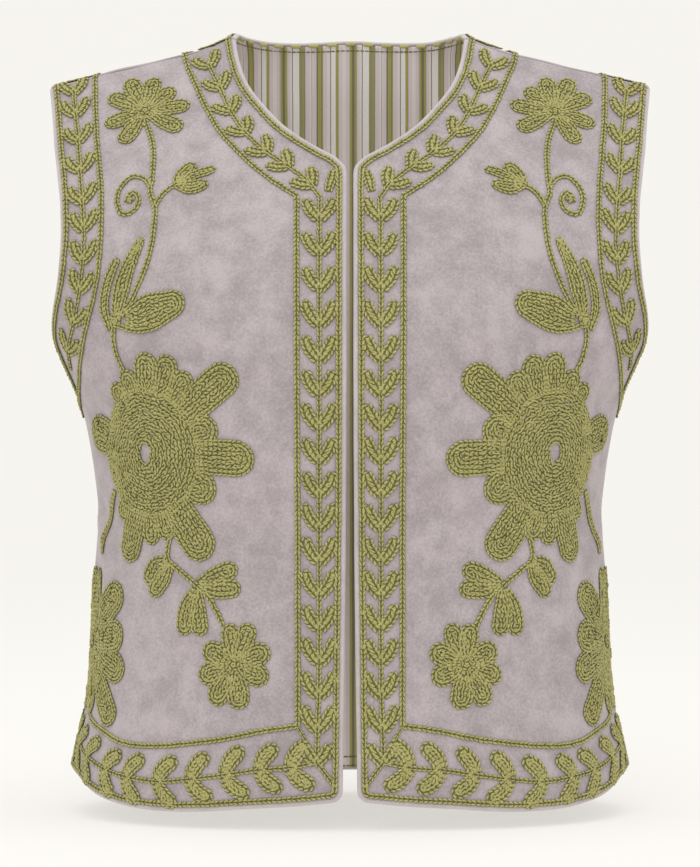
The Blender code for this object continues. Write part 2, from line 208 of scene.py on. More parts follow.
# Chain lines that edge the borders on a front: across, up
NECK_INNER = ((0.1132, 0.0095), (0.1122, 0.0040), (0.1052, -0.0167), (0.0941, -0.0469),
              (0.0831, -0.0693), (0.0681, -0.0891), (0.0531, -0.1046), (0.0386, -0.1158),
              (0.0342, -0.1188))
CENTRE_INNER = ((0.0342, -0.1188), (0.0333, -0.2800), (0.0330, -0.4497))
HEM_INNER = ((0.0330, -0.4497), (0.0550, -0.4530), (0.0812, -0.4586), (0.1039, -0.4619),
             (0.1286, -0.4646), (0.1542, -0.4642), (0.1789, -0.4574), (0.1927, -0.4530),
             (0.2075, -0.4455), (0.2225, -0.4360), (0.2335, -0.4290))
ARMHOLE_INNER = ((0.1743, 0.0095), (0.1740, 0.0040), (0.1718, -0.0228), (0.1673, -0.0641),
                 (0.1628, -0.1054), (0.1633, -0.1399), (0.1688, -0.1709), (0.1778, -0.1924),
                 (0.1883, -0.2131), (0.2048, -0.2320), (0.2240, -0.2460), (0.2443, -0.2530))
BACK_NECK_INNER = ((0.1132, 0.0411), (0.1125, 0.0300), (0.1080, 0.0120), (0.0930, -0.0160),
                   (0.0700, -0.0380), (0.0400, -0.0520), (0.0, -0.0570))
BACK_ARMHOLE_INNER = ((0.1743, 0.0411), (0.1735, 0.0250), (0.1720, -0.0200), (0.1680, -0.0700),
                      (0.1650, -0.1200), (0.1655, -0.1650), (0.1700, -0.1950), (0.1780, -0.2160),
                      (0.1910, -0.2340), (0.2080, -0.2460), (0.2290, -0.2530))
BACK_HEM_INNER = ((0.0, -0.4600), (0.0800, -0.4600), (0.1500, -0.4580), (0.1850, -0.4510),
                  (0.2050, -0.4400), (0.2190, -0.4295))
OUTER_LINE_INSET = 0.0049

# Vines: where each pair of leaves springs from the stem
NECK_VINE = ((0.0190, -0.1210), (0.0250, -0.1123), (0.0401, -0.0985), (0.0541, -0.0865),
             (0.0686, -0.0701), (0.0786, -0.0512), (0.0866, -0.0296), (0.0947, -0.0081))
ARMHOLE_VINE = ((0.2083, -0.2226), (0.2010, -0.2096), (0.1888, -0.1907), (0.1813, -0.1700),
                (0.1768, -0.1494), (0.1748, -0.1261), (0.1755, -0.1037), (0.1788, -0.0744),
                (0.1818, -0.0460), (0.1853, -0.0210), (0.1883, -0.0010))
HEM_VINE = ((0.2330, -0.4640), (0.2160, -0.4690), (0.1963, -0.4749), (0.1733, -0.4818),
            (0.1522, -0.4852), (0.1267, -0.4869), (0.1030, -0.4844), (0.0796, -0.4809),
            (0.0575, -0.4775), (0.0374, -0.4757), (0.0215, -0.4723))
CENTRE_VINE_ACROSS = 0.0195
CENTRE_VINE_FOOT = -0.4510
CENTRE_VINE_STEP = 0.0212
CENTRE_VINE_PAIRS = 16
# The centre vine moves in from the edge by DRIFT over DRIFT_LENGTH below DRIFT_TOP
CENTRE_VINE_DRIFT = 0.0015
CENTRE_VINE_DRIFT_TOP = -0.42
CENTRE_VINE_DRIFT_LENGTH = 0.05
CORNER_THREAD_END = (0.0285, -0.4580)
CORNER_LEAF = (((0.0140, -0.1170), (0.0125, -0.1110), (0.0105, -0.1040)), (1.6, 3.2, 2.4))
HEM_VINE_END = ((0.0150, -0.4800), (0.0095, -0.4885))
BACK_NECK_VINE = ((0.0957, 0.0360), (0.0920, 0.0185), (0.0840, 0.0010), (0.0720, -0.0140),
                  (0.0570, -0.0265), (0.0400, -0.0350), (0.0215, -0.0395))
BACK_ARMHOLE_VINE = ((0.1890, 0.0330), (0.1870, 0.0140), (0.1845, -0.0060), (0.1823, -0.0260),
                     (0.1808, -0.0460), (0.1795, -0.0660), (0.1785, -0.0860), (0.1778, -0.1060),
                     (0.1776, -0.1260), (0.1780, -0.1460), (0.1788, -0.1660), (0.1812, -0.1860),
                     (0.1855, -0.2050), (0.1935, -0.2220))
BACK_HEM_VINE = ((0.0100, -0.4785), (0.0310, -0.4785), (0.0520, -0.4785), (0.0730, -0.4783),
                 (0.0940, -0.4780), (0.1150, -0.4777), (0.1360, -0.4768), (0.1570, -0.4755),
                 (0.1780, -0.4735), (0.1990, -0.4700), (0.2190, -0.4660))

# Leaves of the vines in millimetres, x along the vine and y to one side:
# spine, half width at the foot, the belly and the tip
CENTRE_LEAF = (((-0.9, 0.8), (3.0, 4.2), (7.4, 7.0), (11.6, 8.4)), (2.9, 3.9, 3.2))
NECK_LEAF = (((-0.3, 0.6), (2.6, 3.6), (6.0, 6.0), (9.4, 7.4)), (2.5, 3.7, 3.0))
ARMHOLE_LEAF = (((-0.5, 0.6), (2.8, 3.8), (6.6, 6.2), (10.6, 7.6)), (2.5, 3.7, 3.0))
HEM_LEAF = (((-0.5, 0.9), (1.8, 4.6), (5.6, 9.2), (9.8, 12.2)), (2.6, 4.5, 4.0))

# Spray of flowers on each front: places and stems are across, up on the cloth.
# A petal is its angle in degrees from the way to the front edge, its reach and its half width
# in millimetres.  A leaf is its spine on the cloth and its half widths as above.
DAISY = (0.1372, -0.0340)
DAISY_PETALS = (
    (-31.0, 31.5, 6.0), (9.0, 30.0, 6.0), (49.0, 26.0, 6.2), (86.0, 29.5, 6.0),
    (118.0, 32.5, 6.2), (152.0, 30.0, 6.2), (203.0, 28.0, 6.2), (247.0, 30.0, 6.2),
)
MAIN_STEM = ((0.1369, -0.0380), (0.1357, -0.0451), (0.1318, -0.0580), (0.1294, -0.0740),
             (0.1292, -0.0951), (0.1298, -0.1054), (0.1264, -0.1158), (0.1262, -0.1270),
             (0.1280, -0.1433), (0.1330, -0.1597), (0.1412, -0.1760), (0.1500, -0.1890))
CURL = ((0.1296, -0.1011), (0.1330, -0.0945), (0.1422, -0.0895), (0.1500, -0.0968),
        (0.1522, -0.1075), (0.1470, -0.1190), (0.1395, -0.1160), (0.1372, -0.1085),
        (0.1415, -0.1022), (0.1452, -0.1068))
CURL_KNOB = (0.1430, -0.1085)
BUD_STEM = ((0.1264, -0.1158), (0.1225, -0.1085), (0.1172, -0.1035), (0.1120, -0.1008))
BUD = (0.1128, -0.1010)
# The bud's petals: spine about the bud in millimetres, half width at the foot, belly and tip
BUD_PETALS = (
    ((0.0, 0.0), (3.5, 7.0), (7.2, 12.5), 1.6, 5.0, 4.4),
    ((1.0, 0.0), (11.0, 6.5), (22.0, 10.8), 1.6, 3.9, 3.3),
    ((0.5, -0.5), (10.0, -3.0), (17.5, -0.8), 1.6, 4.6, 3.6),
)
TALL_LEAVES = (
    (((0.1590, -0.1970), (0.1625, -0.1850), (0.1598, -0.1690), (0.1522, -0.1522)),
     (2.2, 3.6, 2.6)),
    (((0.1540, -0.1912), (0.1512, -0.1790), (0.1452, -0.1600), (0.1353, -0.1390)),
     (2.4, 5.2, 1.6)),
)
LEAF_KNOB = (0.1549, -0.1921)
ROUND_LEAF = (((0.1535, -0.1918), (0.1420, -0.1910), (0.1280, -0.1868), (0.1142, -0.1828)),
              (3.0, 12.0, 8.4))
ROSE_STEM = ((0.1560, -0.1925), (0.1572, -0.2071), (0.1556, -0.2150), (0.1520, -0.2240))
ROSE = (0.1385, -0.2775)
ROSE_HOLE = (4.9, 7.0)
ROSE_LEAN = 0.07
ROSE_RINGS = 13
# Rings and scallops of the rose, in millimetres
ROSE_FIRST_RING = 1.3
ROSE_WAVES = 5.0
ROSE_WAVE_HEIGHT = 0.012
ROSE_WAVE_SHIFT = 6.3
ROSE_RING_POINTS = 72
ROSE_EYE = 6.5
LOBE_START = 1.0
LOBE_BASE = 0.85
ROSE_PETAL_START = 2.0
ROSE_PETAL_BASE = 0.9
ROSE_LOBES = (
    (18.0, 57.0, 10.2), (54.0, 64.0, 7.0), (67.5, 68.0, 8.0), (82.0, 66.0, 8.4),
    (99.0, 55.0, 7.0), (115.0, 50.0, 6.8), (131.0, 45.5, 6.8), (149.0, 41.0, 6.6),
    (188.0, 39.0, 7.0), (205.0, 41.0, 7.0), (222.0, 46.0, 7.2), (238.0, 51.0, 7.0),
    (271.0, 60.0, 6.6), (285.0, 58.0, 7.2), (331.0, 57.0, 11.0),
)
ROSE_PETALS = (
    (38.0, 87.0, 11.0), (-3.0, 78.0, 11.4), (-58.0, 80.0, 11.8), (-107.0, 74.0, 9.8),
    (165.0, 62.0, 12.0),
)
SLIVER = (((0.1716, -0.3020), (0.1790, -0.3200), (0.1870, -0.3330), (0.1905, -0.3430)),
          (0.8, 2.2, 1.3))
SPRAY_STEM = ((0.1190, -0.3290), (0.1205, -0.3466), (0.1150, -0.3506), (0.1097, -0.3543),
              (0.0992, -0.3621), (0.0935, -0.3672), (0.0881, -0.3741), (0.0811, -0.3870))
SPRAY_LEAVES = (
    (((0.1212, -0.3470), (0.1290, -0.3500), (0.1345, -0.3565)), (2.4, 6.6, 6.0)),
    (((0.1200, -0.3475), (0.1240, -0.3560), (0.1310, -0.3650)), (2.4, 6.2, 5.4)),
    (((0.0985, -0.3605), (0.0870, -0.3560), (0.0775, -0.3520)), (2.0, 6.0, 5.8)),
    (((0.0980, -0.3620), (0.0860, -0.3640), (0.0755, -0.3636)), (2.0, 6.0, 5.8)),
    (((0.1005, -0.3640), (0.1060, -0.3760), (0.1080, -0.3880)), (2.0, 6.0, 6.0)),
    (((0.0998, -0.3640), (0.0995, -0.3760), (0.0975, -0.3880)), (2.0, 6.0, 6.0)),
)
LOW_FLOWER = (0.0740, -0.4118)
LOW_FLOWER_PETALS = (
    (98.0, 26.5, 6.2), (68.0, 28.5, 6.4), (24.0, 25.0, 7.0), (-22.0, 24.0, 6.8),
    (-81.0, 28.0, 6.8), (-118.0, 28.5, 6.8), (-160.0, 25.0, 6.8), (152.0, 23.5, 7.0),
)
SIDE_FLOWER = (0.2075, -0.4020)
SIDE_FLOWER_PETALS = (
    (80.0, 50.0, 6.6), (97.0, 50.0, 6.6), (40.0, 58.0, 11.0), (8.0, 50.0, 10.0),
    (-20.0, 54.0, 10.0), (-50.0, 67.0, 8.8), (-80.0, 48.0, 8.6), (-106.0, 46.0, 8.8),
    (-134.0, 50.0, 9.6), (-163.0, 50.0, 9.8), (-192.0, 50.0, 9.8), (-222.0, 52.0, 10.4),
)
PEAK_THREAD = ((0.2335, -0.4290), (0.2312, -0.4200), (0.2285, -0.4080))

# Cloth
FLAT_THICKNESS = 0.001
GRID_SHIFT = 0.137
RIM_REACH = 0.0045
LINING_INSET = 0.0021
OUTLINE_SPACING = 0.003
PANEL_STEP = 0.0007
FRONT_REACH = (-0.03, 0.42)
BACK_REACH = (-0.34, 0.34)
METRIC_STEP = 0.002
RIPPLE_SEED = 11
RIPPLE_LENGTHS = (0.026, 0.034, 0.043, 0.055, 0.071, 0.090)
WAVES_PER_LENGTH = 3
STRIPE_START = 0.459
ROW_CROWDING = 0.5
FOLD_DEPTH = 1.4
LINE_LOOSENESS = 0.08
FILL_LOOSENESS = 0.30
LEAF_WIDENING = 1.26
LINE_RAISED = 0.0003
FILL_RAISED = 0.0002
KNOB_RAISED = 0.0006
HEART_RAISED = 0.0012
STEM_SPACING = 0.001
VINE_STEM = 0.9
JOIN_STEM = 0.85
THIN_STEM = 0.7
THREAD_STEM = 0.6
LEAF_SIZES = (0.95, 1.05)
TALL_LEAF_BELLY = 0.35

# Flowers, in millimetres: where petals start, their half width there, radius of the heart
DAISY_SHAPE = (2.8, 2.2, 2.4)
LOW_FLOWER_SHAPE = (2.6, 2.4, 2.4)
SIDE_FLOWER_SHAPE = (4.0, 2.2, 3.2)
HEART_SPOKES = (0.0, 60.0, 120.0)
HEART_POINTS = 16
SPOKE_OVERLAP = 1.5
# Small coils: first and last radius in millimetres, turns
CURL_SPIRAL = (0.4, 2.6, 1.6)
LEAF_SPIRAL = (0.4, 3.8, 2.6)

# Starts of the random play, one for each kind of needlework
BORDER_SEED = 40
SPRAY_SEED = 70
EDGE_SEED = 90

# Straight stitches beside an edge: distance in, height, period, length, width, thickness
OVERCAST = (0.0015, -0.0040, 0.0125, 0.0078, 0.0024, 0.0046)
NECK_TOPSTITCH = (0.0062, -0.0035, 0.0034, 0.0031, 0.0011, 0.0011)
HEM_TOPSTITCHES = (
    (0.0030, -0.0035, 0.0034, 0.0031, 0.0011, 0.0011),
    (0.0096, -0.0035, 0.0034, 0.0031, 0.0011, 0.0011),
)
OVERCAST_BRIGHTNESS = 0.72
# Painted shade: the topstitches stay near the yarn's shade colour, standing for the shadow of the
# small fold where the lining is stitched down.
TOPSTITCH_SHADE_BRIGHTNESS = 0.15
DASH_LOOSENESS = 0.02

# Stage
CAMERA_PLACE = (0.0, -2.2, -0.265)
CAMERA_LENS = 136.94
SENSOR_WIDTH = 36.0
LIGHT_AIM = (0.0, 0.0, -0.25)
# Place, size and share of the key light's power
LIGHTS = {
    "key_light": ((-0.5, -2.6, 1.9), 2.4, 1.0),
    "top_light": ((0.2, -0.4, 2.0), 2.2, 0.5),
}
FLOOR_SIDE = 8.0
FLOOR_FRONT = -7.0
SWEEP_START = 5.0
SWEEP_RADIUS = 1.5
WALL_TOP = 6.0

# Turns a small sphere's poles along the stitch
LYING = Matrix.Rotation(np.radians(90.0), 3, "Y")


class ClothSettings(bpy.types.PropertyGroup):
    """Sizes and colours of the velvet and the lining"""

    grid_step: bpy.props.FloatProperty(
        name="Cloth grid", description="Spacing of the cloth's own grid", default=0.005,
        unit="LENGTH")
    edge_step: bpy.props.FloatProperty(
        name="Edge spacing", description="Spacing of points along a panel's edge", default=0.003,
        unit="LENGTH")
    ripple: bpy.props.FloatProperty(
        name="Ripple", description="Height of the small soft unevenness of the cloth",
        default=0.00055, unit="LENGTH")
    velvet_light: bpy.props.FloatVectorProperty(
        name="Velvet light", description="Velvet where the nap catches the light",
        default=(0.495, 0.434, 0.444), subtype="COLOR")
    velvet_dark: bpy.props.FloatVectorProperty(
        name="Velvet dark", description="Velvet where the nap turns away",
        default=(0.352, 0.304, 0.312), subtype="COLOR")
    # The pale edge colour is partly rubbed wear and partly a painted highlight on the rolled turned
    # edges.
    rim_wear_and_highlight: bpy.props.FloatVectorProperty(
        name="Rim", description="Velvet rubbed pale along the turned edges",
        default=(0.70, 0.66, 0.65), subtype="COLOR")
    stripe_repeat: bpy.props.FloatProperty(
        name="Stripe repeat", description="Width of one repeat of the lining's stripes",
        default=0.0488, unit="LENGTH")


class StitchSettings(bpy.types.PropertyGroup):
    """Sizes and colours of the embroidery"""

    width: bpy.props.FloatProperty(
        name="Stitch width", description="Width of one chain stitch", default=0.0038,
        unit="LENGTH")
    pitch: bpy.props.FloatProperty(
        name="Stitch length", description="Length of one chain stitch", default=0.0031,
        unit="LENGTH")
    height: bpy.props.FloatProperty(
        name="Stitch height", description="How far the yarn stands off the cloth",
        default=0.0016, unit="LENGTH")
    row_spacing: bpy.props.FloatProperty(
        name="Row spacing", description="Distance between rows of a filled motif",
        default=0.0027, unit="LENGTH")
    # Painted highlight: the lit colour of the yarn on the top of each stitch.
    yarn_painted_highlight: bpy.props.FloatVectorProperty(
        name="Yarn light", description="Yarn on the crown of a stitch",
        default=(0.543, 0.508, 0.200), subtype="COLOR")
    # Painted shade: the yarn's colour in shade, in the hollows between strands and on the dark
    # sheet under them.
    yarn_painted_shade: bpy.props.FloatVectorProperty(
        name="Yarn dark", description="Yarn in the hollow of a stitch",
        default=(0.160, 0.147, 0.041), subtype="COLOR")


class StageSettings(bpy.types.PropertyGroup):
    """Floor and light"""

    floor_height: bpy.props.FloatProperty(
        name="Floor height", description="Height of the floor under the hem", default=-0.516,
        unit="LENGTH")
    floor_colour: bpy.props.FloatVectorProperty(
        name="Floor", description="Colour of the floor and backdrop",
        default=(0.975, 0.957, 0.923), subtype="COLOR")
    floor_glow: bpy.props.FloatProperty(
        name="Floor glow", description="Share of the floor's brightness that no shadow dims",
        default=0.55, min=0.0, max=1.0)
    key_power: bpy.props.FloatProperty(
        name="Key light", description="Power of the large light above the camera, in watts",
        default=22.0)
    sky_strength: bpy.props.FloatProperty(
        name="Sky", description="Strength of the even light all round", default=0.84)


# Form and panels


def smooth_through(where, knots, values):
    """A smooth curve through values at the knots."""
    slopes = np.gradient(values, knots, axis=0)
    i = np.clip(np.searchsorted(knots, where) - 1, 0, len(knots) - 2)
    step = (knots[i + 1] - knots[i])[:, None]
    f = ((where - knots[i]) / (knots[i + 1] - knots[i]))[:, None]
    rise = (1.0 + 2.0 * f) * (1.0 - f) ** 2 * values[i] + f ** 2 * (3.0 - 2.0 * f) * values[i + 1]
    bend = f * (1.0 - f) ** 2 * slopes[i] - f ** 2 * (1.0 - f) * slopes[i + 1]
    return rise + step * bend


def fall_across(x):
    """Share of the shoulder's fall at each distance from the centre, level at the centre."""
    return np.sqrt(x ** 2 + SHOULDER_ROUND ** 2) - SHOULDER_ROUND


def heights_on_cloth(form):
    """Height on the cloth of each section, walked along it above the underarm."""
    heights = []
    before = None
    for height, depth, half, fall, _ in form:
        narrow = (1.0 - (SHOULDER_REFERENCE / half) ** SQUARENESS) ** (1.0 / SQUARENESS)
        place = np.array((depth * narrow, height - fall * fall_across(SHOULDER_REFERENCE)))
        if not heights or heights[-1] < UNDERARM:
            heights.append(height)
        else:
            heights.append(heights[-1] + float(np.linalg.norm(place - before)))
        before = place
    return np.array(heights)


def make_chart(form, far_form):
    """Places on the form on an even grid of cloth coordinates, round to the far side."""
    knots = heights_on_cloth(form)
    ups = np.linspace(knots[0], knots[-1], CHART_ROWS)
    acrosses = np.linspace(0.0, CHART_WIDTH, CHART_COLUMNS)
    sections = smooth_through(ups, knots, np.array(form))
    far_ups = np.minimum(ups, UNDERARM)
    far = smooth_through(far_ups, heights_on_cloth(far_form), np.array(far_form))
    turn = np.radians(np.linspace(0.0, 180.0, SECTION_POINTS))
    out = np.abs(np.sin(turn)) ** (2.0 / SQUARENESS)
    deep = np.abs(np.cos(turn)) ** (2.0 / SQUARENESS)
    places = np.zeros((CHART_ROWS, CHART_COLUMNS, 3))
    for row, (height, depth, half, fall, stand) in enumerate(sections):
        level = ups[row] if ups[row] <= UNDERARM else height
        x = half * out
        y = np.where(turn <= np.pi / 2, depth, far[row, 1]) * deep
        rise = np.clip(1.0 - (x - NECK_POINT) / NECK_STAND_REACH, 0.0, 1.0) ** 2
        ring = np.stack((x, y, level - fall * fall_across(x) + stand * rise), axis=1)
        walked = walk(ring)
        for axis in range(3):
            places[row, :, axis] = np.interp(acrosses, walked, ring[:, axis])
    return {"ups": ups, "acrosses": acrosses, "places": places,
            "shoulder_seam": knots[SHOULDER_SEAM_ROW]}


def walk(points):
    """Distance walked along a run of points."""
    steps = np.linalg.norm(np.diff(points, axis=0), axis=1)
    return np.concatenate(((0.0,), np.cumsum(steps)))


def fold_height(folds, across, up):
    """How far the folds lift each point off the form."""
    lift = np.zeros_like(across)
    for from_across, from_up, to_across, to_up, half_width, height in folds:
        run = np.array((to_across - from_across, to_up - from_up))
        length = np.linalg.norm(run)
        run /= length
        ahead = ((across - from_across) * run[0] + (up - from_up) * run[1]) / length
        aside = (across - from_across) * run[1] - (up - from_up) * run[0]
        taper = np.sin(np.pi * np.clip(ahead, 0.0, 1.0)) ** 2
        lift += height * taper * np.exp(-(aside / half_width) ** 2)
    return lift


def soft_ripple(places):
    """A small soft unevenness between -1 and 1 that runs on from panel to panel."""
    waves = np.random.default_rng(RIPPLE_SEED)
    total = np.zeros(places.shape[:-1])
    for length in RIPPLE_LENGTHS:
        for _ in range(WAVES_PER_LENGTH):
            heading = waves.normal(size=3)
            heading *= 2.0 * np.pi / (length * np.linalg.norm(heading))
            total += np.sin(places @ heading + waves.uniform(0.0, 2.0 * np.pi))
    return total / len(RIPPLE_LENGTHS)


def grid_read(grid, row, column):
    """Values between the points of a grid."""
    i = np.clip(row.astype(int), 0, grid.shape[0] - 2)
    j = np.clip(column.astype(int), 0, grid.shape[1] - 2)
    f = (row - i)[..., None]
    g = (column - j)[..., None]
    low = grid[i, j] * (1.0 - g) + grid[i, j + 1] * g
    high = grid[i + 1, j] * (1.0 - g) + grid[i + 1, j + 1] * g
    return low * (1.0 - f) + high * f


class Panel:
    """One cut panel: finds the place and the normal of any point of its folded cloth."""

    def __init__(self, form, far_form, folds, reach, mirrored, ripple):
        chart = make_chart(form, far_form)
        self.ups = chart["ups"]
        self.shoulder_seam = chart["shoulder_seam"]
        self.side = self.find_side(chart)
        self.low, high = reach
        columns = int(round((high - self.low) / PANEL_STEP)) + 1
        across = self.low + PANEL_STEP * np.arange(columns)
        across_grid, up_grid = np.meshgrid(across, self.ups)
        row = np.broadcast_to(np.arange(CHART_ROWS)[:, None], across_grid.shape).astype(float)
        column = np.abs(across_grid) / (chart["acrosses"][1] - chart["acrosses"][0])
        places = grid_read(chart["places"], row, column)
        places[..., 0] *= np.where(across_grid < 0.0, -1.0, 1.0)
        facing = -np.sign(chart["places"][0, 0, 1])
        normals = self.find_normals(places) * facing
        lift = FOLD_DEPTH * fold_height(folds, across_grid, up_grid) + ripple * soft_ripple(places)
        self.places = places + lift[..., None] * normals
        self.normals = self.find_normals(self.places) * facing
        if mirrored:
            self.places[..., 0] *= -1.0
            self.normals[..., 0] *= -1.0
        self.beyond = None

    @staticmethod
    def find_side(chart):
        """Distance across to the side seam at each height, where front turns to back."""
        depth = chart["places"][:, :, 1]
        turned = np.argmax(np.sign(depth) != np.sign(depth[:, :1]), axis=1)
        rows = np.arange(CHART_ROWS)
        before = depth[rows, turned - 1]
        share = before / (before - depth[rows, turned])
        step = chart["acrosses"][1] - chart["acrosses"][0]
        return (turned - 1 + share) * step

    @staticmethod
    def find_normals(places):
        normals = np.cross(np.gradient(places, axis=1), np.gradient(places, axis=0))
        return normals / np.linalg.norm(normals, axis=-1, keepdims=True)

    def side_across(self, up):
        return np.interp(up, self.ups, self.side)

    def read(self, points):
        """Place and normal of points on this panel's own chart."""
        row = (points[..., 1] - self.ups[0]) / (self.ups[1] - self.ups[0])
        column = (points[..., 0] - self.low) / PANEL_STEP
        normals = grid_read(self.normals, row, column)
        normals /= np.linalg.norm(normals, axis=-1, keepdims=True)
        return grid_read(self.places, row, column), normals

    def frame_at(self, points):
        """Place and normal of points, on the next panel past the side seam."""
        points = np.asarray(points, dtype=float)
        places, normals = self.read(points)
        if self.beyond is not None:
            back, sign = self.beyond
            past = points[..., 0] - self.side_across(points[..., 1])
            over = (past > 0.0) & (points[..., 1] < UNDERARM)
            if np.any(over):
                heights = points[over][:, 1]
                across = sign * (back.side_across(heights) - past[over])
                places[over], normals[over] = back.read(np.stack((across, heights), axis=1))
        return places, normals

    def metric(self, centre):
        """Millimetres towards the centre line and up, for each metre across and up the cloth."""
        around = np.array(centre) + METRIC_STEP * np.array(((1, 0), (-1, 0), (0, 1), (0, -1)))
        places, _ = self.frame_at(around)
        along = (places[0] - places[1]) / (2.0 * METRIC_STEP)
        rise = (places[2] - places[3]) / (2.0 * METRIC_STEP)
        normal = np.cross(along, rise)
        level = np.cross(normal, (0.0, 0.0, 1.0))
        level /= np.linalg.norm(level)
        level *= -np.sign(level @ along)
        steep = np.cross(normal, level)
        steep /= np.linalg.norm(steep)
        steep *= np.sign(steep @ rise)
        return 1000.0 * np.array(((along @ level, rise @ level), (along @ steep, rise @ steep)))

    def laid(self, centre, turn, shape):
        """Cloth coordinates of a flat shape in millimetres, turned and laid at a point."""
        cosine = np.cos(turn)
        sine = np.sin(turn)
        turned = np.asarray(shape) @ np.array(((cosine, sine), (-sine, cosine)))
        return np.array(centre) + turned @ np.linalg.inv(self.metric(centre)).T

    def flattened(self, points):
        """A run of cloth coordinates as a flat shape in millimetres about its first point."""
        points = np.asarray(points)
        return (points - points[0]) @ self.metric(points.mean(axis=0)).T


def even_points(points, count):
    """Evenly spaced points along a run of points."""
    walked = walk(points)
    even = np.linspace(0.0, walked[-1], count + 1)
    return np.stack([np.interp(even, walked, points[:, axis])
                     for axis in range(points.shape[1])], axis=1)


def curve_points(points, count):
    """Evenly spaced points on a smooth curve through the given ones."""
    points = np.array(points, dtype=float)
    walked = walk(points)
    fine = smooth_through(np.linspace(0.0, walked[-1], 40 * count + 1), walked, points)
    return even_points(fine, count)


def curve_by(points, spacing):
    """Points about a spacing apart on a smooth curve through the given ones."""
    count = max(2, int(round(walk(np.array(points, dtype=float))[-1] / spacing)))
    return curve_points(points, count)


def joined(*pieces):
    """One run of points from pieces that each start where the last one ended."""
    return np.concatenate([pieces[0]] + [piece[1:] for piece in pieces[1:]])


def moved_right(points, distance):
    """A run of points moved to the right of the way it runs."""
    ahead = np.gradient(points, axis=0)
    ahead /= np.linalg.norm(ahead, axis=1, keepdims=True)
    return points + distance * np.stack((ahead[:, 1], -ahead[:, 0]), axis=1)


def side_run(panel, from_up, to_up, spacing):
    """Points along the side seam."""
    ups = np.linspace(from_up, to_up, int(round((UNDERARM - SIDE_HEM) / spacing)))
    return np.stack((panel.side_across(ups), ups), axis=1)


def shoulder_run(seam, start, end, spacing):
    """Points along the shoulder seam."""
    return even_points(np.array(((start, seam), (end, seam))),
                       int(round((SHOULDER_TIP - NECK_TOP) / spacing)))


def front_runs(front, spacing):
    """The edges of a front, clockwise: hem to neck, shoulder, armhole and side."""
    seam = front.shoulder_seam
    side = side_run(front, UNDERARM, SIDE_HEM, spacing)
    hem_end = (CENTRE_HEM[0] + HEM_CORNER, CENTRE_HEM[1])
    hem_points = (tuple(side[-1]),) + FRONT_HEM[::-1] + (hem_end,)
    angles = np.radians(np.linspace(0.0, 90.0, 7))
    corner = (np.array(CENTRE_HEM) + HEM_CORNER
              - HEM_CORNER * np.stack((np.sin(angles), np.cos(angles)), axis=1))
    centre = curve_by((tuple(corner[-1]), CENTRE_WAIST, CENTRE_TOP), spacing)
    neck_corner = curve_by(NECK_CORNER, 0.5 * spacing)
    neck = curve_by(FRONT_NECK + ((NECK_TOP, seam),), spacing)
    open_edge = joined(curve_by(hem_points, spacing), corner, centre, neck_corner, neck)
    shoulder = shoulder_run(seam, NECK_TOP, SHOULDER_TIP, spacing)
    armhole = curve_by(((SHOULDER_TIP, seam),) + FRONT_ARMHOLE[::-1] + (tuple(side[0]),), spacing)
    return (open_edge, True), (shoulder, False), (armhole, True), (side, False)


def back_runs(back, spacing):
    """The edges of the back, clockwise: hem, side, armhole, shoulder, neck and round again."""
    seam = back.shoulder_seam
    side = side_run(back, SIDE_HEM, UNDERARM, spacing)
    mirror = np.array((-1.0, 1.0))
    half_hem = curve_by((tuple(side[0]),) + BACK_HEM, spacing)
    armhole = curve_by((tuple(side[-1]),) + BACK_ARMHOLE + ((SHOULDER_TIP, seam),), spacing)
    shoulder = shoulder_run(seam, SHOULDER_TIP, NECK_TOP, spacing)
    half_neck = curve_by(((NECK_TOP, seam),) + BACK_NECK, spacing)
    return (
        (joined(half_hem, (half_hem * mirror)[::-1]), True),
        (side * mirror, False),
        (armhole * mirror, True),
        (shoulder * mirror, False),
        (joined(half_neck * mirror, half_neck[::-1]), True),
        (shoulder[::-1], False),
        (armhole[::-1], True),
        (side[::-1], False),
    )


def outline_of(runs, inset):
    """A closed outline from the edges of a panel, drawn in from its open edges."""
    pieces = []
    for points, is_open in runs:
        pieces.append(moved_right(points, inset) if is_open else points[1:-1])
    return np.concatenate(pieces)


def distance_to(points, line):
    """Distance from each point to the nearest place on a line."""
    nearest = np.full(len(points), np.inf)
    for start, end in zip(line[:-1], line[1:]):
        run = end - start
        share = np.clip((points - start) @ run / max(run @ run, 1e-18), 0.0, 1.0)
        gap = np.linalg.norm(points - start - share[:, None] * run, axis=1)
        nearest = np.minimum(nearest, gap)
    return nearest


def flat_cloth(outline, ring_distances, grid_step):
    """A flat closed sheet on an outline: rings of faces along its edge and a grid inside."""
    cloth = bmesh.new()
    corners = [cloth.verts.new((across, up, 0.0)) for across, up in outline]
    middle = [cloth.faces.new(corners)]
    before = 0.0
    for distance in ring_distances:
        bmesh.ops.inset_region(cloth, faces=middle, thickness=distance - before,
                               use_boundary=True, use_even_offset=True)
        before = distance
    low = outline.min(axis=0)
    high = outline.max(axis=0)
    for axis in (0, 1):
        normal = (1.0, 0.0, 0.0) if axis == 0 else (0.0, 1.0, 0.0)
        count = int((high[axis] - low[axis]) / grid_step)
        for cut in range(1, count + 1):
            place = low[axis] + (cut + GRID_SHIFT) * grid_step
            if place < high[axis]:
                point = (place, 0.0, 0.0) if axis == 0 else (0.0, place, 0.0)
                everything = cloth.verts[:] + cloth.edges[:] + cloth.faces[:]
                bmesh.ops.bisect_plane(cloth, geom=everything, dist=1e-7, plane_co=point,
                                       plane_no=normal)
    bmesh.ops.remove_doubles(cloth, verts=cloth.verts[:], dist=0.00001)
    bmesh.ops.solidify(cloth, geom=cloth.faces[:], thickness=FLAT_THICKNESS)
    bmesh.ops.triangulate(cloth, faces=cloth.faces[:])
    bmesh.ops.recalc_face_normals(cloth, faces=cloth.faces[:])
    return cloth


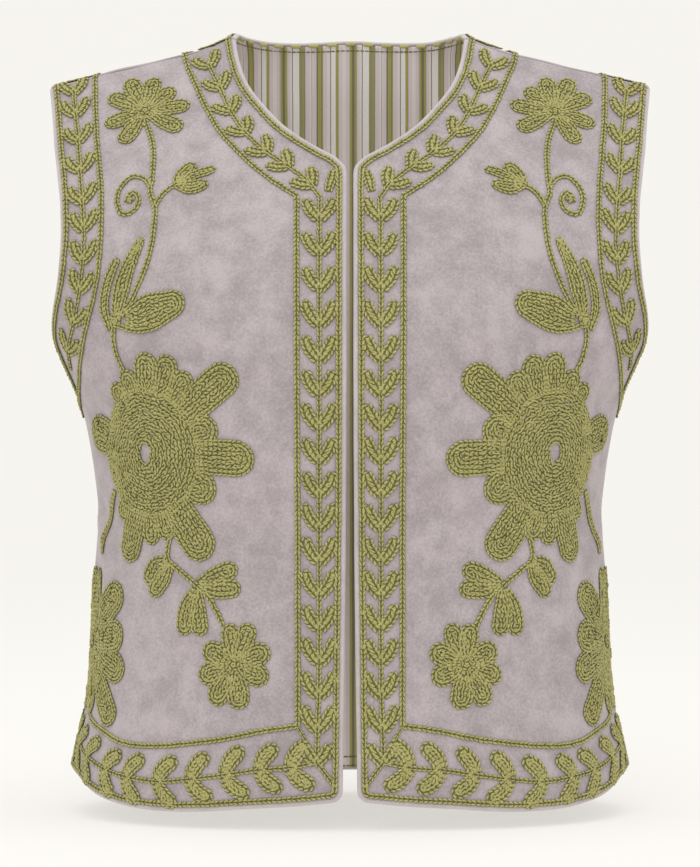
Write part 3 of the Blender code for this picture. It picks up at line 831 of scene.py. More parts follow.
def make_sheet(name, panel, runs, inset, edge_table, rings, seam_depth, grid_step, material):
    """A thin closed sheet of cloth on a panel, with its own edge all round."""
    outline = outline_of(runs, inset)
    table = np.array(edge_table)
    cloth = flat_cloth(outline, table[1:rings + 1, 0], grid_step)
    points = np.array([vertex.co[:] for vertex in cloth.verts])
    flat = points[:, :2]
    is_outer = np.abs(points[:, 2]) < 0.5 * FLAT_THICKNESS
    open_edges = [moved_right(points, inset) for points, is_open in runs if is_open]
    seams = [points for points, is_open in runs if not is_open]
    from_edge = np.min([distance_to(flat, line) for line in open_edges], axis=0)
    from_seam = np.min([distance_to(flat, line) for line in seams], axis=0)
    groove = seam_depth * np.exp(-(from_seam / SEAM_REACH) ** 2)
    height = np.where(is_outer, np.interp(from_edge, table[:, 0], table[:, 1]) - groove,
                      np.interp(from_edge, table[:, 0], table[:, 2]))
    places, normals = panel.read(flat)
    places += height[:, None] * normals
    # Mask of the pale turned edges: partly rubbed wear, partly painted highlight, fading in from
    # each open edge.
    rim = cloth.verts.layers.float.new("rim")
    # Seam mask: where the velvet is painted darker along the seams, as painted shade in their
    # grooves.
    seam = cloth.verts.layers.float.new("seam")
    uv = cloth.loops.layers.uv.new("cloth")
    for vertex, edge_gap, seam_gap in zip(cloth.verts, from_edge, from_seam):
        vertex[rim] = float(np.clip(1.0 - edge_gap / RIM_REACH, 0.0, 1.0))
        vertex[seam] = float(np.exp(-(seam_gap / SEAM_REACH) ** 2))
    for face in cloth.faces:
        for loop in face.loops:
            loop[uv].uv = loop.vert.co[:2]
    for vertex, place in zip(cloth.verts, places):
        vertex.co = place
    bmesh.ops.recalc_face_normals(cloth, faces=cloth.faces[:])
    mesh = bpy.data.meshes.new(name)
    cloth.to_mesh(mesh)
    cloth.free()
    mesh.shade_smooth()
    return new_piece(name, mesh, material)


def new_piece(name, mesh, material):
    """An object in the scene with one material."""
    mesh.materials.append(material)
    piece = bpy.data.objects.new(name, mesh)
    bpy.context.scene.collection.objects.link(piece)
    return piece


# Stitches


def chain_link():
    """One chain stitch, 1 long, 1 wide and 1 high: two fat strands over a dark sheet that is
    painted shade between them.
    """
    link = bmesh.new()
    for side in (-1.0, 1.0):
        strand = bmesh.ops.create_uvsphere(link, u_segments=5, v_segments=3, radius=0.5)["verts"]
        bmesh.ops.rotate(link, verts=strand, cent=(0.0, 0.0, 0.0), matrix=LYING)
        bmesh.ops.scale(link, verts=strand, vec=(1.26, 0.46, 0.86))
        for vertex in strand:
            vertex.co.y += side * (0.29 + 0.20 * vertex.co.x - 0.16 * vertex.co.x ** 2)
            vertex.co.z += 0.48 + 0.20 * vertex.co.x
    strands = len(link.verts)
    shade_sheet = bmesh.ops.create_grid(link, x_segments=1, y_segments=1, size=0.5)["verts"]
    bmesh.ops.scale(link, verts=shade_sheet, vec=(1.10, 0.86, 1.0))
    bmesh.ops.translate(link, verts=shade_sheet, vec=(0.0, 0.0, 0.30))
    bmesh.ops.triangulate(link, faces=link.faces[:])
    points, faces = read_shape(link)
    # Painted light: the higher a point of a strand, the more it takes of the painted highlight;
    # lower points and the ends take painted shade.
    crown = np.clip(points[:, 2] - 0.3 * np.abs(points[:, 0]), 0.0, 1.0)
    # The sheet under the strands takes only the painted shade colour.
    crown[strands:] = 0.0
    return points, faces, crown


def plain_stitch(brightness):
    """One straight stitch, 1 long, 1 wide and 1 high."""
    stitch = bmesh.new()
    strand = bmesh.ops.create_uvsphere(stitch, u_segments=6, v_segments=5, radius=0.5)["verts"]
    bmesh.ops.rotate(stitch, verts=strand, cent=(0.0, 0.0, 0.0), matrix=LYING)
    for vertex in strand:
        vertex.co.x = 0.5 * np.sign(vertex.co.x) * np.sqrt(abs(2.0 * vertex.co.x))
    bmesh.ops.translate(stitch, verts=strand, vec=(0.0, 0.0, 0.4))
    bmesh.ops.triangulate(stitch, faces=stitch.faces[:])
    points, faces = read_shape(stitch)
    # The brightness is the stitch's one even share between the yarn's painted shade and painted
    # highlight colours.
    return points, faces, np.full(len(points), brightness)


def read_shape(shape):
    """Points and faces of a small shape that is copied many times."""
    points = np.array([vertex.co[:] for vertex in shape.verts])
    faces = np.array([[vertex.index for vertex in face.verts] for face in shape.faces])
    shape.free()
    return points, faces


class Needlework:
    """Stitches gathered along rows, then made into one mesh."""

    def __init__(self, stitch, settings, seed):
        self.stitch = stitch
        self.settings = settings
        self.chance = np.random.default_rng(seed)
        self.frames = []

    def row(self, panel, path, closed=False, width=None, raised=0.0,
            loose=LINE_LOOSENESS):
        """Chain stitches along a run of cloth coordinates."""
        path = np.asarray(path, dtype=float)
        if closed:
            start = self.chance.integers(len(path))
            path = np.concatenate((path[start:], path[:start], path[start:start + 1]))
        places, _ = panel.frame_at(path)
        walked = walk(places)
        count = int(round(walked[-1] / self.settings.pitch))
        if count < 1:
            return
        even = np.linspace(0.0, walked[-1], count + 1)
        stops = np.stack([np.interp(even, walked, path[:, axis]) for axis in (0, 1)], axis=1)
        ends, _ = panel.frame_at(stops)
        middles, normals = panel.frame_at(0.5 * (stops[:-1] + stops[1:]))
        self.add(middles, ends[1:] - ends[:-1], normals,
                 self.settings.width if width is None else width, self.settings.height, raised,
                 loose)

    def add(self, middles, runs, normals, width, height, raised, loose):
        count = len(middles)
        length = np.linalg.norm(runs, axis=1)
        ahead = runs / np.maximum(length, 1e-9)[:, None]
        ahead -= np.sum(ahead * normals, axis=1, keepdims=True) * normals
        ahead /= np.linalg.norm(ahead, axis=1, keepdims=True)
        side = np.cross(normals, ahead)
        yaw = self.chance.normal(0.0, loose, count)[:, None]
        ahead, side = (np.cos(yaw) * ahead + np.sin(yaw) * side,
                       np.cos(yaw) * side - np.sin(yaw) * ahead)
        slip = self.chance.normal(0.0, 0.0010 * loose, count)[:, None]
        lift = raised + self.chance.normal(0.0, 0.0010 * loose, count)[:, None]
        self.frames.append((
            middles + slip * side + lift * normals,
            ahead * (length * self.chance.uniform(0.95, 1.08, count))[:, None],
            side * (width * self.chance.uniform(0.92, 1.08, count))[:, None],
            normals * (height * self.chance.uniform(0.88, 1.15, count))[:, None],
            self.chance.uniform(-1.0, 1.0, count),
        ))

    def make(self, name, material):
        """All the stitches as one piece."""
        middles, ahead, side, normals, tones = (np.concatenate(part) for part in zip(*self.frames))
        points, faces, crown = self.stitch
        places = (middles[:, None] + points[None, :, :1] * ahead[:, None]
                  + points[None, :, 1:2] * side[:, None] + points[None, :, 2:] * normals[:, None])
        copies = len(middles)
        offsets = (np.arange(copies) * len(points))[:, None, None]
        corners = (faces[None] + offsets).reshape(-1)
        mesh = bpy.data.meshes.new(name)
        mesh.vertices.add(copies * len(points))
        mesh.vertices.foreach_set("co", places.reshape(-1).astype(np.float32))
        mesh.loops.add(len(corners))
        mesh.loops.foreach_set("vertex_index", corners.astype(np.int32))
        mesh.polygons.add(len(corners) // 3)
        mesh.polygons.foreach_set("loop_start", np.arange(0, len(corners), 3, dtype=np.int32))
        mesh.update(calc_edges=True)
        self.store(mesh, "tone", np.repeat(tones, len(points)))
        self.store(mesh, "crown", np.tile(crown, copies))
        mesh.shade_smooth()
        return new_piece(name, mesh, material)

    @staticmethod
    def store(mesh, name, values):
        layer = mesh.attributes.new(name, "FLOAT", "POINT")
        layer.data.foreach_set("value", values.astype(np.float32))


# Motifs, drawn flat in millimetres as rows of stitches


def blade_rows(spine, base, belly, tip, spacing, belly_at=0.55):
    """Rows that fill a petal or leaf: up one side, round the tip and down the other."""
    line = curve_points(spine, 24)
    share = walk(line) / walk(line)[-1]
    half = smooth_through(share, np.array((0.0, belly_at, 1.0)),
                          np.array(((base,), (belly,), (tip,))))[:, 0]
    ahead = np.gradient(line, axis=0)
    ahead /= np.linalg.norm(ahead, axis=1, keepdims=True)
    left = np.stack((-ahead[:, 1], ahead[:, 0]), axis=1)
    angles = np.radians(np.linspace(90.0, -90.0, 9))[1:-1, None]
    rows = []
    count = max(1, int(round(belly / spacing)))
    for number in range(count):
        part = 1.0 - (number + 0.5) / count
        keep = half > (0.0 if number == 0 else ROW_CROWDING * spacing * count)
        offset = (part * half)[:, None]
        round_end = line[-1] + part * tip * (np.cos(angles) * ahead[-1] + np.sin(angles) * left[-1])
        rows.append(np.concatenate(((line + offset * left)[keep], round_end,
                                    (line - offset * left)[keep][::-1])))
    return rows


def petal_rows(angle, reach, half_width, start, base, spacing):
    """A round-ended petal that points away from the middle of a flower."""
    heading = np.array((np.cos(np.radians(angle)), np.sin(np.radians(angle))))
    end = reach - half_width
    spine = [start * heading, 0.5 * (start + end) * heading, end * heading]
    return blade_rows(spine, base, half_width, half_width, spacing, belly_at=0.7)


def oval(across, up, count):
    """A closed ring."""
    angles = np.linspace(0.0, 2.0 * np.pi, count, endpoint=False)
    return np.stack((across * np.cos(angles), up * np.sin(angles)), axis=1)


def spiral(start, end, turns):
    """A tight coil that fills a small round knob."""
    angles = np.linspace(0.0, 2.0 * np.pi * turns, int(16 * turns))
    radius = np.linspace(start, end, len(angles))
    return np.stack((radius * np.cos(angles), radius * np.sin(angles)), axis=1)


def lay_all(work, panel, paths, raised):
    """Rows of one motif: the outermost is neat and the others are loose."""
    for number, path in enumerate(paths):
        work.row(panel, path, raised=raised, loose=FILL_LOOSENESS if number else LINE_LOOSENESS)


def lay_rows(work, panel, centre, rows, raised=0.0):
    """Rows drawn about a point of the cloth."""
    lay_all(work, panel, [panel.laid(centre, 0.0, row) for row in rows], raised)


def lay_blade(work, panel, spine, widths, spacing, raised=0.0, belly_at=0.55):
    """A leaf whose spine is given on the cloth."""
    flat = panel.flattened(spine)
    back = np.linalg.inv(panel.metric(np.mean(spine, axis=0))).T
    rows = blade_rows(flat, *widths, spacing, belly_at=belly_at)
    lay_all(work, panel, [np.array(spine[0]) + row @ back for row in rows], raised)


def lay_stem(work, panel, points, share=1.0):
    """One smooth line of chain stitches, a share of the usual width."""
    work.row(panel, curve_by(points, STEM_SPACING), width=share * work.settings.width)


def lay_vine(work, panel, joints, leaf, spacing, first=0, last=None):
    """A stem with a pair of leaves at each joint, opening the way it grows."""
    joints = np.array(joints)
    lay_stem(work, panel, joints, VINE_STEM)
    ahead = np.gradient(joints, axis=0)
    spine, widths = leaf
    for joint, run in list(zip(joints, ahead))[first:last]:
        local = panel.metric(joint) @ run
        turn = np.arctan2(local[1], local[0])
        size = work.chance.uniform(*LEAF_SIZES)
        for side in (1.0, -1.0):
            shape = np.array(spine) * np.array((size, side * size))
            for row in blade_rows(shape, *widths, spacing, belly_at=0.6):
                work.row(panel, panel.laid(joint, turn, row), raised=FILL_RAISED,
                         width=LEAF_WIDENING * work.settings.width)


def flower(work, panel, centre, petals, shape, spacing):
    """Petals round a small heart of crossed stitches and a ring."""
    start, base, heart = shape
    for angle, reach, half_width in petals:
        lay_rows(work, panel, centre, petal_rows(angle, reach, half_width, start, base, spacing))
    for angle in HEART_SPOKES:
        spoke = np.array((np.cos(np.radians(angle)), np.sin(np.radians(angle))))
        across_heart = np.linspace(-1.0, 1.0, 5)[:, None] * (start + SPOKE_OVERLAP) * spoke
        work.row(panel, panel.laid(centre, 0.0, across_heart))
    work.row(panel, panel.laid(centre, 0.0, oval(heart, heart, HEART_POINTS)), closed=True,
             raised=HEART_RAISED)


def rose(work, panel, centre, spacing):
    """The large round flower: rings about a bare eye, scallops and five long petals."""
    for ring in range(ROSE_RINGS):
        grown = ROSE_FIRST_RING + spacing * ring
        turn = np.linspace(0.0, 2.0 * np.pi, ROSE_RING_POINTS, endpoint=False)
        shift = work.chance.uniform(0.0, ROSE_WAVE_SHIFT)
        wobble = 1.0 + ROSE_WAVE_HEIGHT * np.sin(ROSE_WAVES * turn + shift)
        row = oval(ROSE_HOLE[0] + grown, ROSE_HOLE[1] + grown, ROSE_RING_POINTS) * wobble[:, None]
        row[:, 0] += ROSE_LEAN * grown
        work.row(panel, panel.laid(centre, 0.0, row), closed=True, loose=FILL_LOOSENESS)
    edge = ROSE_EYE + spacing * (ROSE_RINGS - 0.5)
    for angle, reach, half_width in ROSE_LOBES:
        rows = petal_rows(angle, reach, half_width, edge - LOBE_START,
                          LOBE_BASE * half_width, spacing)
        lay_rows(work, panel, centre, rows)
    for angle, reach, half_width in ROSE_PETALS:
        rows = petal_rows(angle, reach, half_width, edge - ROSE_PETAL_START,
                          ROSE_PETAL_BASE * half_width, spacing)
        lay_rows(work, panel, centre, rows, raised=FILL_RAISED)


# Finishes


class Number:
    """A shader number; using it in a sum adds the Math node."""

    def __init__(self, finish, socket):
        self.finish = finish
        self.socket = socket

    def maths(self, operation, first, second):
        return self.finish.number("ShaderNodeMath", {"operation": operation}, {0: first, 1: second})

    def __add__(self, other):
        return self.maths("ADD", self, other)

    def __sub__(self, other):
        return self.maths("SUBTRACT", self, other)

    def __mul__(self, other):
        return self.maths("MULTIPLY", self, other)

    def __truediv__(self, other):
        return self.maths("DIVIDE", self, other)

    def fraction(self):
        return self.maths("FRACT", self, 0.0)

    def limited(self):
        return self.finish.number("ShaderNodeClamp", {}, {"Value": self})


class Finish:
    """A material, its nodes added one at a time."""

    def __init__(self, name, roughness, constants):
        self.material = bpy.data.materials.new(name)
        self.material.use_nodes = True
        self.tree = self.material.node_tree
        self.shader = self.tree.nodes["Principled BSDF"]
        self.shader.inputs["Roughness"].default_value = roughness
        for socket, value in constants.items():
            self.shader.inputs[socket].default_value = value

    def node(self, kind, settings, values):
        """Any node: its settings first, then the values or links of its sockets."""
        node = self.tree.nodes.new(kind)
        for name, value in settings.items():
            if name == "stops":
                self.set_stops(node.color_ramp, value)
            else:
                setattr(node, name, value)
        for socket, value in values.items():
            if isinstance(value, Number):
                value = value.socket
            if isinstance(value, bpy.types.NodeSocket):
                self.tree.links.new(value, node.inputs[socket])
            else:
                node.inputs[socket].default_value = value
        return node

    @staticmethod
    def set_stops(ramp, stops):
        for position, _ in stops[:-2]:
            ramp.elements.new(position)
        for element, (position, colour) in zip(ramp.elements, stops):
            element.position = position
            element.color = (*colour, 1.0)

    def number(self, kind, settings, values, output=0):
        return Number(self, self.node(kind, settings, values).outputs[output])

    def object_place(self):
        return self.node("ShaderNodeTexCoord", {}, {}).outputs["Object"]

    def noise(self, scale, detail, place):
        return self.number("ShaderNodeTexNoise", {},
                           {"Vector": place, "Scale": scale, "Detail": detail})

    def stored(self, name):
        return self.number("ShaderNodeAttribute", {"attribute_name": name}, {}, output="Fac")

    def mixed(self, share, first, second):
        """A colour between two others."""
        first = (*first, 1.0) if isinstance(first, (tuple, list)) else first
        second = (*second, 1.0) if isinstance(second, (tuple, list)) else second
        node = self.node("ShaderNodeMix", {"data_type": "RGBA"},
                         {"Factor": share, 6: first, 7: second})
        return node.outputs[2]

    def relief(self, height, strength, distance):
        node = self.node("ShaderNodeBump", {}, {"Height": height, "Strength": strength,
                                                "Distance": distance})
        self.tree.links.new(node.outputs["Normal"], self.shader.inputs["Normal"])

    def coloured(self, colour):
        self.tree.links.new(colour, self.shader.inputs["Base Color"])
        return self.material


def velvet_finish(settings):
    """Matt napped cotton velvet, mottled where the nap lies different ways; the turned edges are
    rubbed pale and also carry a painted highlight, and the seams are darkened with painted shade.
    """
    finish = Finish("velvet", 0.92, {"Sheen Weight": 0.30, "Sheen Roughness": 0.45,
                                     "Specular IOR Level": 0.15})
    place = finish.object_place()
    broad = finish.noise(16.0, 3.0, place)
    middling = finish.noise(70.0, 3.0, place)
    nap = finish.noise(620.0, 2.0, place)
    mottle = ((broad - 0.5) * 1.3 + (middling - 0.5) * 2.0 + (nap - 0.5) * 1.7 + 0.5).limited()
    cloth = finish.mixed(mottle, tuple(settings.velvet_dark), tuple(settings.velvet_light))
    # Painted highlight, partly real rubbed wear: the velvet turns pale along the turned edges.
    rim = (finish.stored("rim") * 0.60).limited()
    cloth = finish.mixed(rim, cloth, tuple(settings.rim_wear_and_highlight))
    # Painted shade: the velvet is darkened along the seams, where the grooves fall into shade.
    seam = (finish.stored("seam") * 0.55).limited()
    cloth = finish.mixed(seam, cloth, (0.20, 0.17, 0.17))
    finish.relief(middling * 0.7 + nap * 0.3, 0.35, 0.0012)
    return finish.coloured(cloth)


def lining_finish(settings):
    """Woven cotton with olive, white and grey stripes down its length."""
    mauve = (0.80, 0.70, 0.725)
    pale = (0.88, 0.82, 0.81)
    white = (0.94, 0.92, 0.89)
    olive = (0.42, 0.40, 0.11)
    drab = (0.32, 0.31, 0.17)
    dark = (0.20, 0.19, 0.12)
    stops = (
        (0.000, olive), (0.050, dark), (0.060, olive), (0.074, mauve), (0.128, pale),
        (0.172, dark), (0.185, white), (0.251, olive), (0.294, mauve), (0.345, pale),
        (0.400, mauve), (0.442, drab), (0.449, mauve), (0.457, olive), (0.488, dark),
        (0.520, olive), (0.557, mauve), (0.592, pale), (0.627, dark), (0.640, white),
        (0.727, olive), (0.742, drab), (0.775, olive), (0.790, drab), (0.817, mauve),
        (0.880, pale), (0.908, drab), (0.915, pale), (0.930, mauve), (0.977, dark),
    )
    finish = Finish("lining", 0.75, {"Specular IOR Level": 0.25})
    cloth = finish.node("ShaderNodeUVMap", {"uv_map": "cloth"}, {}).outputs[0]
    parts = finish.node("ShaderNodeSeparateXYZ", {}, {0: cloth})
    across = Number(finish, parts.outputs[0])
    up = Number(finish, parts.outputs[1])
    repeat = (across / settings.stripe_repeat + STRIPE_START).fraction()
    stripes = finish.node("ShaderNodeValToRGB", {"stops": stops}, {"Fac": repeat})
    stripes.color_ramp.interpolation = "CONSTANT"
    place = finish.object_place()
    slub = finish.noise(900.0, 1.0, place)
    cloth_colour = finish.mixed((slub * 0.22).limited(), stripes.outputs[0], (0.33, 0.29, 0.27))
    finish.relief(slub + (up * 1800.0).fraction() * 0.4, 0.25, 0.0003)
    return finish.coloured(cloth_colour)


def yarn_finish(settings):
    """Thick olive yarn, with a painted highlight on the crown of each stitch and painted shade in
    its hollow.
    """
    finish = Finish("thread", 0.80, {"Sheen Weight": 0.12, "Specular IOR Level": 0.25})
    # Painted highlight and shade come from the crown attribute; tone and fibre are the yarn's own
    # random variation.
    crown = finish.stored("crown")
    tone = finish.stored("tone")
    fibre = finish.noise(1400.0, 1.0, finish.object_place())
    share = (crown * 1.05 + tone * 0.10 + (fibre - 0.5) * 0.35 - 0.05).limited()
    yarn = finish.mixed(share, tuple(settings.yarn_painted_shade), tuple(settings.yarn_painted_highlight))
    finish.relief(fibre, 0.4, 0.0004)
    return finish.coloured(yarn)


def floor_finish(colour, glow):
    """Pale paper, part lit from below so that the shadow on it stays faint."""
    finish = Finish("floor", 0.95, {
        "Specular IOR Level": 0.0,
        "Base Color": (*(value * (1.0 - glow) for value in colour), 1.0),
        "Emission Color": (*colour, 1.0),
        "Emission Strength": glow,
    })
    return finish.material


def finish_named(name, make, settings):
    found = bpy.data.materials.get(name)
    return found if found is not None and "waistcoat" in found else mark(make(settings))


def mark(material):
    material["waistcoat"] = True
    return material


def make_panels(ripple):
    """The right front, the left front and the back, joined in their reading at the sides."""
    right = Panel(FRONT_FORM, BACK_FORM, RIGHT_FOLDS, FRONT_REACH, True, ripple)
    left = Panel(FRONT_FORM, BACK_FORM, LEFT_FOLDS, FRONT_REACH, False, ripple)
    back = Panel(BACK_FORM, FRONT_FORM, BACK_FOLDS, BACK_REACH, False, ripple)
    right.beyond = (back, -1.0)
    left.beyond = (back, 1.0)
    return {"right": right, "left": left, "back": back}


PANELS = {}


def panels(context):
    """The panels, charted once."""
    if not PANELS:
        PANELS.update(make_panels(context.scene.waistcoat_cloth.ripple))
    return PANELS


def panel_runs(name, panel, spacing):
    return back_runs(panel, spacing) if name == "back" else front_runs(panel, spacing)


def flat_facts(runs):
    """Width, length and area of a panel laid flat."""
    outline = outline_of(runs, 0.0)
    width, length = outline.max(axis=0) - outline.min(axis=0)
    x, y = outline.T
    area = 0.5 * abs(x @ np.roll(y, 1) - y @ np.roll(x, 1))
    return (float(width), float(length)), float(area)


NODE_NAMES = {"right": "front_right", "left": "front_left", "back": "back"}


class WAISTCOAT_OT_cloth(bpy.types.Operator):
    """Make the velvet shell and the striped lining, panel by panel"""

    bl_idname = "waistcoat.cloth"
    bl_label = "Shell and lining"

    def execute(self, context):
        settings = context.scene.waistcoat_cloth
        velvet = finish_named("velvet", velvet_finish, settings)
        lining = finish_named("lining", lining_finish, settings)
        for name, panel in panels(context).items():
            runs = panel_runs(name, panel, settings.edge_step)
            node = NODE_NAMES[name]
            shell = make_sheet("velvet_" + node, panel, runs, 0.0, TURNED_EDGE,
                               TURNED_EDGE_RINGS, SEAM_DEPTH, settings.grid_step, velvet)
            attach(shell, "root")
            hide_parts("shell_" + node)
            inside = make_sheet("striped_lining_" + node, panel, runs, LINING_INSET, LINING_EDGE,
                                LINING_EDGE_RINGS, 0.0, 2.0 * settings.grid_step, lining)
            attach(inside, "root")
            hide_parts("lining_" + node)
        return {"FINISHED"}


def embroider_front_borders(work, panel, spacing):
    """Chain lines and vines along the edges of a front."""
    runs = front_runs(panel, OUTLINE_SPACING)
    edge = moved_right(runs[0][0], OUTER_LINE_INSET)
    armhole = moved_right(runs[2][0], OUTER_LINE_INSET)
    foot = panel.side_across(SIDE_HEM)
    edge = np.concatenate((((foot, edge[0, 1]),), edge[edge[:, 0] < foot]))
    work.row(panel, edge, raised=LINE_RAISED)
    armhole_foot = (panel.side_across(UNDERARM), UNDERARM - OUTER_LINE_INSET)
    work.row(panel, np.concatenate((armhole[:-1], (armhole_foot,))), raised=LINE_RAISED)
    for line in (NECK_INNER, CENTRE_INNER, HEM_INNER, ARMHOLE_INNER):
        lay_stem(work, panel, line)
    heights = CENTRE_VINE_FOOT + CENTRE_VINE_STEP * np.arange(-1, CENTRE_VINE_PAIRS)
    drift = np.clip((CENTRE_VINE_DRIFT_TOP - heights) / CENTRE_VINE_DRIFT_LENGTH, 0.0, 1.0)
    across = CENTRE_VINE_ACROSS + CENTRE_VINE_DRIFT * drift
    joints = np.stack((across, heights), axis=1)
    lay_vine(work, panel, joints[1:], CENTRE_LEAF, spacing)
    lay_vine(work, panel, joints[:2], NECK_LEAF, spacing, last=1)
    lay_stem(work, panel, (CENTRE_INNER[-1], CORNER_THREAD_END), THREAD_STEM)
    lay_stem(work, panel, (joints[-1], NECK_VINE[0]), JOIN_STEM)
    lay_vine(work, panel, NECK_VINE, NECK_LEAF, spacing, first=1)
    lay_blade(work, panel, *CORNER_LEAF, spacing)
    lay_vine(work, panel, ARMHOLE_VINE, ARMHOLE_LEAF, spacing, first=1)
    lay_vine(work, panel, HEM_VINE, HEM_LEAF, spacing, last=-1)
    lay_stem(work, panel, (HEM_VINE[-1],) + HEM_VINE_END, JOIN_STEM)


def embroider_spray(work, panel, spacing):
    """The flowers, leaves and curls of a front."""
    flower(work, panel, DAISY, DAISY_PETALS, DAISY_SHAPE, spacing)
    lay_stem(work, panel, MAIN_STEM)
    lay_stem(work, panel, CURL)
    lay_rows(work, panel, CURL_KNOB, [spiral(*CURL_SPIRAL)], raised=LINE_RAISED)
    lay_stem(work, panel, BUD_STEM)
    for first, second, third, base, belly, tip in BUD_PETALS:
        lay_rows(work, panel, BUD, blade_rows((first, second, third), base, belly, tip, spacing))
    for spine, widths in TALL_LEAVES:
        lay_blade(work, panel, spine, widths, spacing, belly_at=TALL_LEAF_BELLY)
    lay_blade(work, panel, *ROUND_LEAF, spacing, raised=LINE_RAISED)
    lay_rows(work, panel, LEAF_KNOB, [spiral(*LEAF_SPIRAL)], raised=KNOB_RAISED)
    lay_stem(work, panel, ROSE_STEM)
    rose(work, panel, ROSE, 1000.0 * work.settings.row_spacing)
    lay_blade(work, panel, *SLIVER, spacing)
    lay_stem(work, panel, SPRAY_STEM)
    for spine, widths in SPRAY_LEAVES:
        lay_blade(work, panel, spine, widths, spacing)
    flower(work, panel, LOW_FLOWER, LOW_FLOWER_PETALS, LOW_FLOWER_SHAPE, spacing)
    flower(work, panel, SIDE_FLOWER, SIDE_FLOWER_PETALS, SIDE_FLOWER_SHAPE, spacing)
    lay_stem(work, panel, PEAK_THREAD, THIN_STEM)


def embroider_back_borders(work, panel, spacing):
    """The borders carried on round the back."""
    runs = back_runs(panel, OUTLINE_SPACING)
    for vine_end in (BACK_NECK_VINE[-1], BACK_HEM_VINE[0]):
        middle = (0.0, vine_end[1] - 0.0006)
        lay_stem(work, panel, (vine_end, middle, (-vine_end[0], vine_end[1])))
    for which in (0, 2, 4, 6):
        work.row(panel, moved_right(runs[which][0], OUTER_LINE_INSET), raised=LINE_RAISED)
    for side in (1.0, -1.0):
        flip = np.array((side, 1.0))
        for line in (BACK_NECK_INNER, BACK_ARMHOLE_INNER, BACK_HEM_INNER):
            lay_stem(work, panel, np.array(line) * flip)
        lay_vine(work, panel, np.array(BACK_NECK_VINE) * flip, NECK_LEAF, spacing)
        lay_vine(work, panel, np.array(BACK_ARMHOLE_VINE) * flip, ARMHOLE_LEAF, spacing)
        lay_vine(work, panel, np.array(BACK_HEM_VINE) * flip, HEM_LEAF, spacing)


def make_needlework(work, name, yarn):
    """One piece of stitches, riding on the body."""
    piece = work.make(name, yarn)
    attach(piece, "root")


class WAISTCOAT_OT_borders(bpy.types.Operator):
    """Embroider the borders: chain lines with a leafy vine between them"""

    bl_idname = "waistcoat.borders"
    bl_label = "Embroidered borders"

    def execute(self, context):
        settings = context.scene.waistcoat_stitches
        yarn = finish_named("thread", yarn_finish, settings)
        link = chain_link()
        spacing = 1000.0 * settings.row_spacing
        for number, (name, panel) in enumerate(panels(context).items()):
            work = Needlework(link, settings, BORDER_SEED + number)
            if name == "back":
                embroider_back_borders(work, panel, spacing)
            else:
                embroider_front_borders(work, panel, spacing)
            make_needlework(work, "border_stitches_" + NODE_NAMES[name], yarn)
        return {"FINISHED"}


class WAISTCOAT_OT_sprays(bpy.types.Operator):
    """Embroider the spray of flowers and leaves on each front"""

    bl_idname = "waistcoat.sprays"
    bl_label = "Embroidered sprays"

    def execute(self, context):
        settings = context.scene.waistcoat_stitches
        yarn = finish_named("thread", yarn_finish, settings)
        link = chain_link()
        spacing = 1000.0 * settings.row_spacing
        for number, name in enumerate(("right", "left")):
            work = Needlework(link, settings, SPRAY_SEED + number)
            embroider_spray(work, panels(context)[name], spacing)
            make_needlework(work, "spray_stitches_" + NODE_NAMES[name], yarn)
        return {"FINISHED"}


class WAISTCOAT_OT_edge_stitches(bpy.types.Operator):
    """Overcast the back neck and stitch down the edge of the lining"""

    bl_idname = "waistcoat.edge_stitches"
    bl_label = "Edge stitches"

    def execute(self, context):
        settings = context.scene.waistcoat_stitches
        yarn = finish_named("thread", yarn_finish, settings)
        back = panels(context)["back"]
        runs = back_runs(back, OUTLINE_SPACING)
        neck = runs[4][0]
        hem = runs[0][0]
        work = Needlework(plain_stitch(OVERCAST_BRIGHTNESS), settings, EDGE_SEED)
        self.dashes(work, back, neck, *OVERCAST)
        make_needlework(work, "overcast_stitches_back", yarn)
        work = Needlework(plain_stitch(TOPSTITCH_SHADE_BRIGHTNESS), settings, EDGE_SEED + 1)
        self.dashes(work, back, neck, *NECK_TOPSTITCH)
        for line in HEM_TOPSTITCHES:
            self.dashes(work, back, hem, *line)
        make_needlework(work, "edge_stitches_back", yarn)
        for name, panel in panels(context).items():
            self.declare(context, name, panel)
        return {"FINISHED"}

    def dashes(self, work, panel, line, inset, raised, period, length, width, height):
        """Straight stitches in a line beside an edge."""
        path = moved_right(line, inset)
        places, _ = panel.frame_at(path)
        walked = walk(places)
        count = int(walked[-1] / period)
        starts = (np.arange(count) + 0.5) * walked[-1] / count - 0.5 * length
        ends = [np.stack([np.interp(at, walked, path[:, axis]) for axis in (0, 1)], axis=1)
                for at in (starts, starts + length)]
        first, _ = panel.frame_at(ends[0])
        second, _ = panel.frame_at(ends[1])
        middles, normals = panel.frame_at(0.5 * (ends[0] + ends[1]))
        work.add(middles, second - first, normals, width, height, raised, DASH_LOOSENESS)

    def declare(self, context, name, panel):
        """Work out each panel's flat size and area and gather the stitches that lie on it; nothing
        is done with them.
        """
        node = NODE_NAMES[name]
        flat, area = flat_facts(panel_runs(name, panel, OUTLINE_SPACING))
        objects = bpy.data.objects
        stitches = [objects["border_stitches_" + node]]
        if name == "back":
            stitches += [objects["edge_stitches_back"], objects["overcast_stitches_back"]]
        else:
            stitches.append(objects["spray_stitches_" + node])


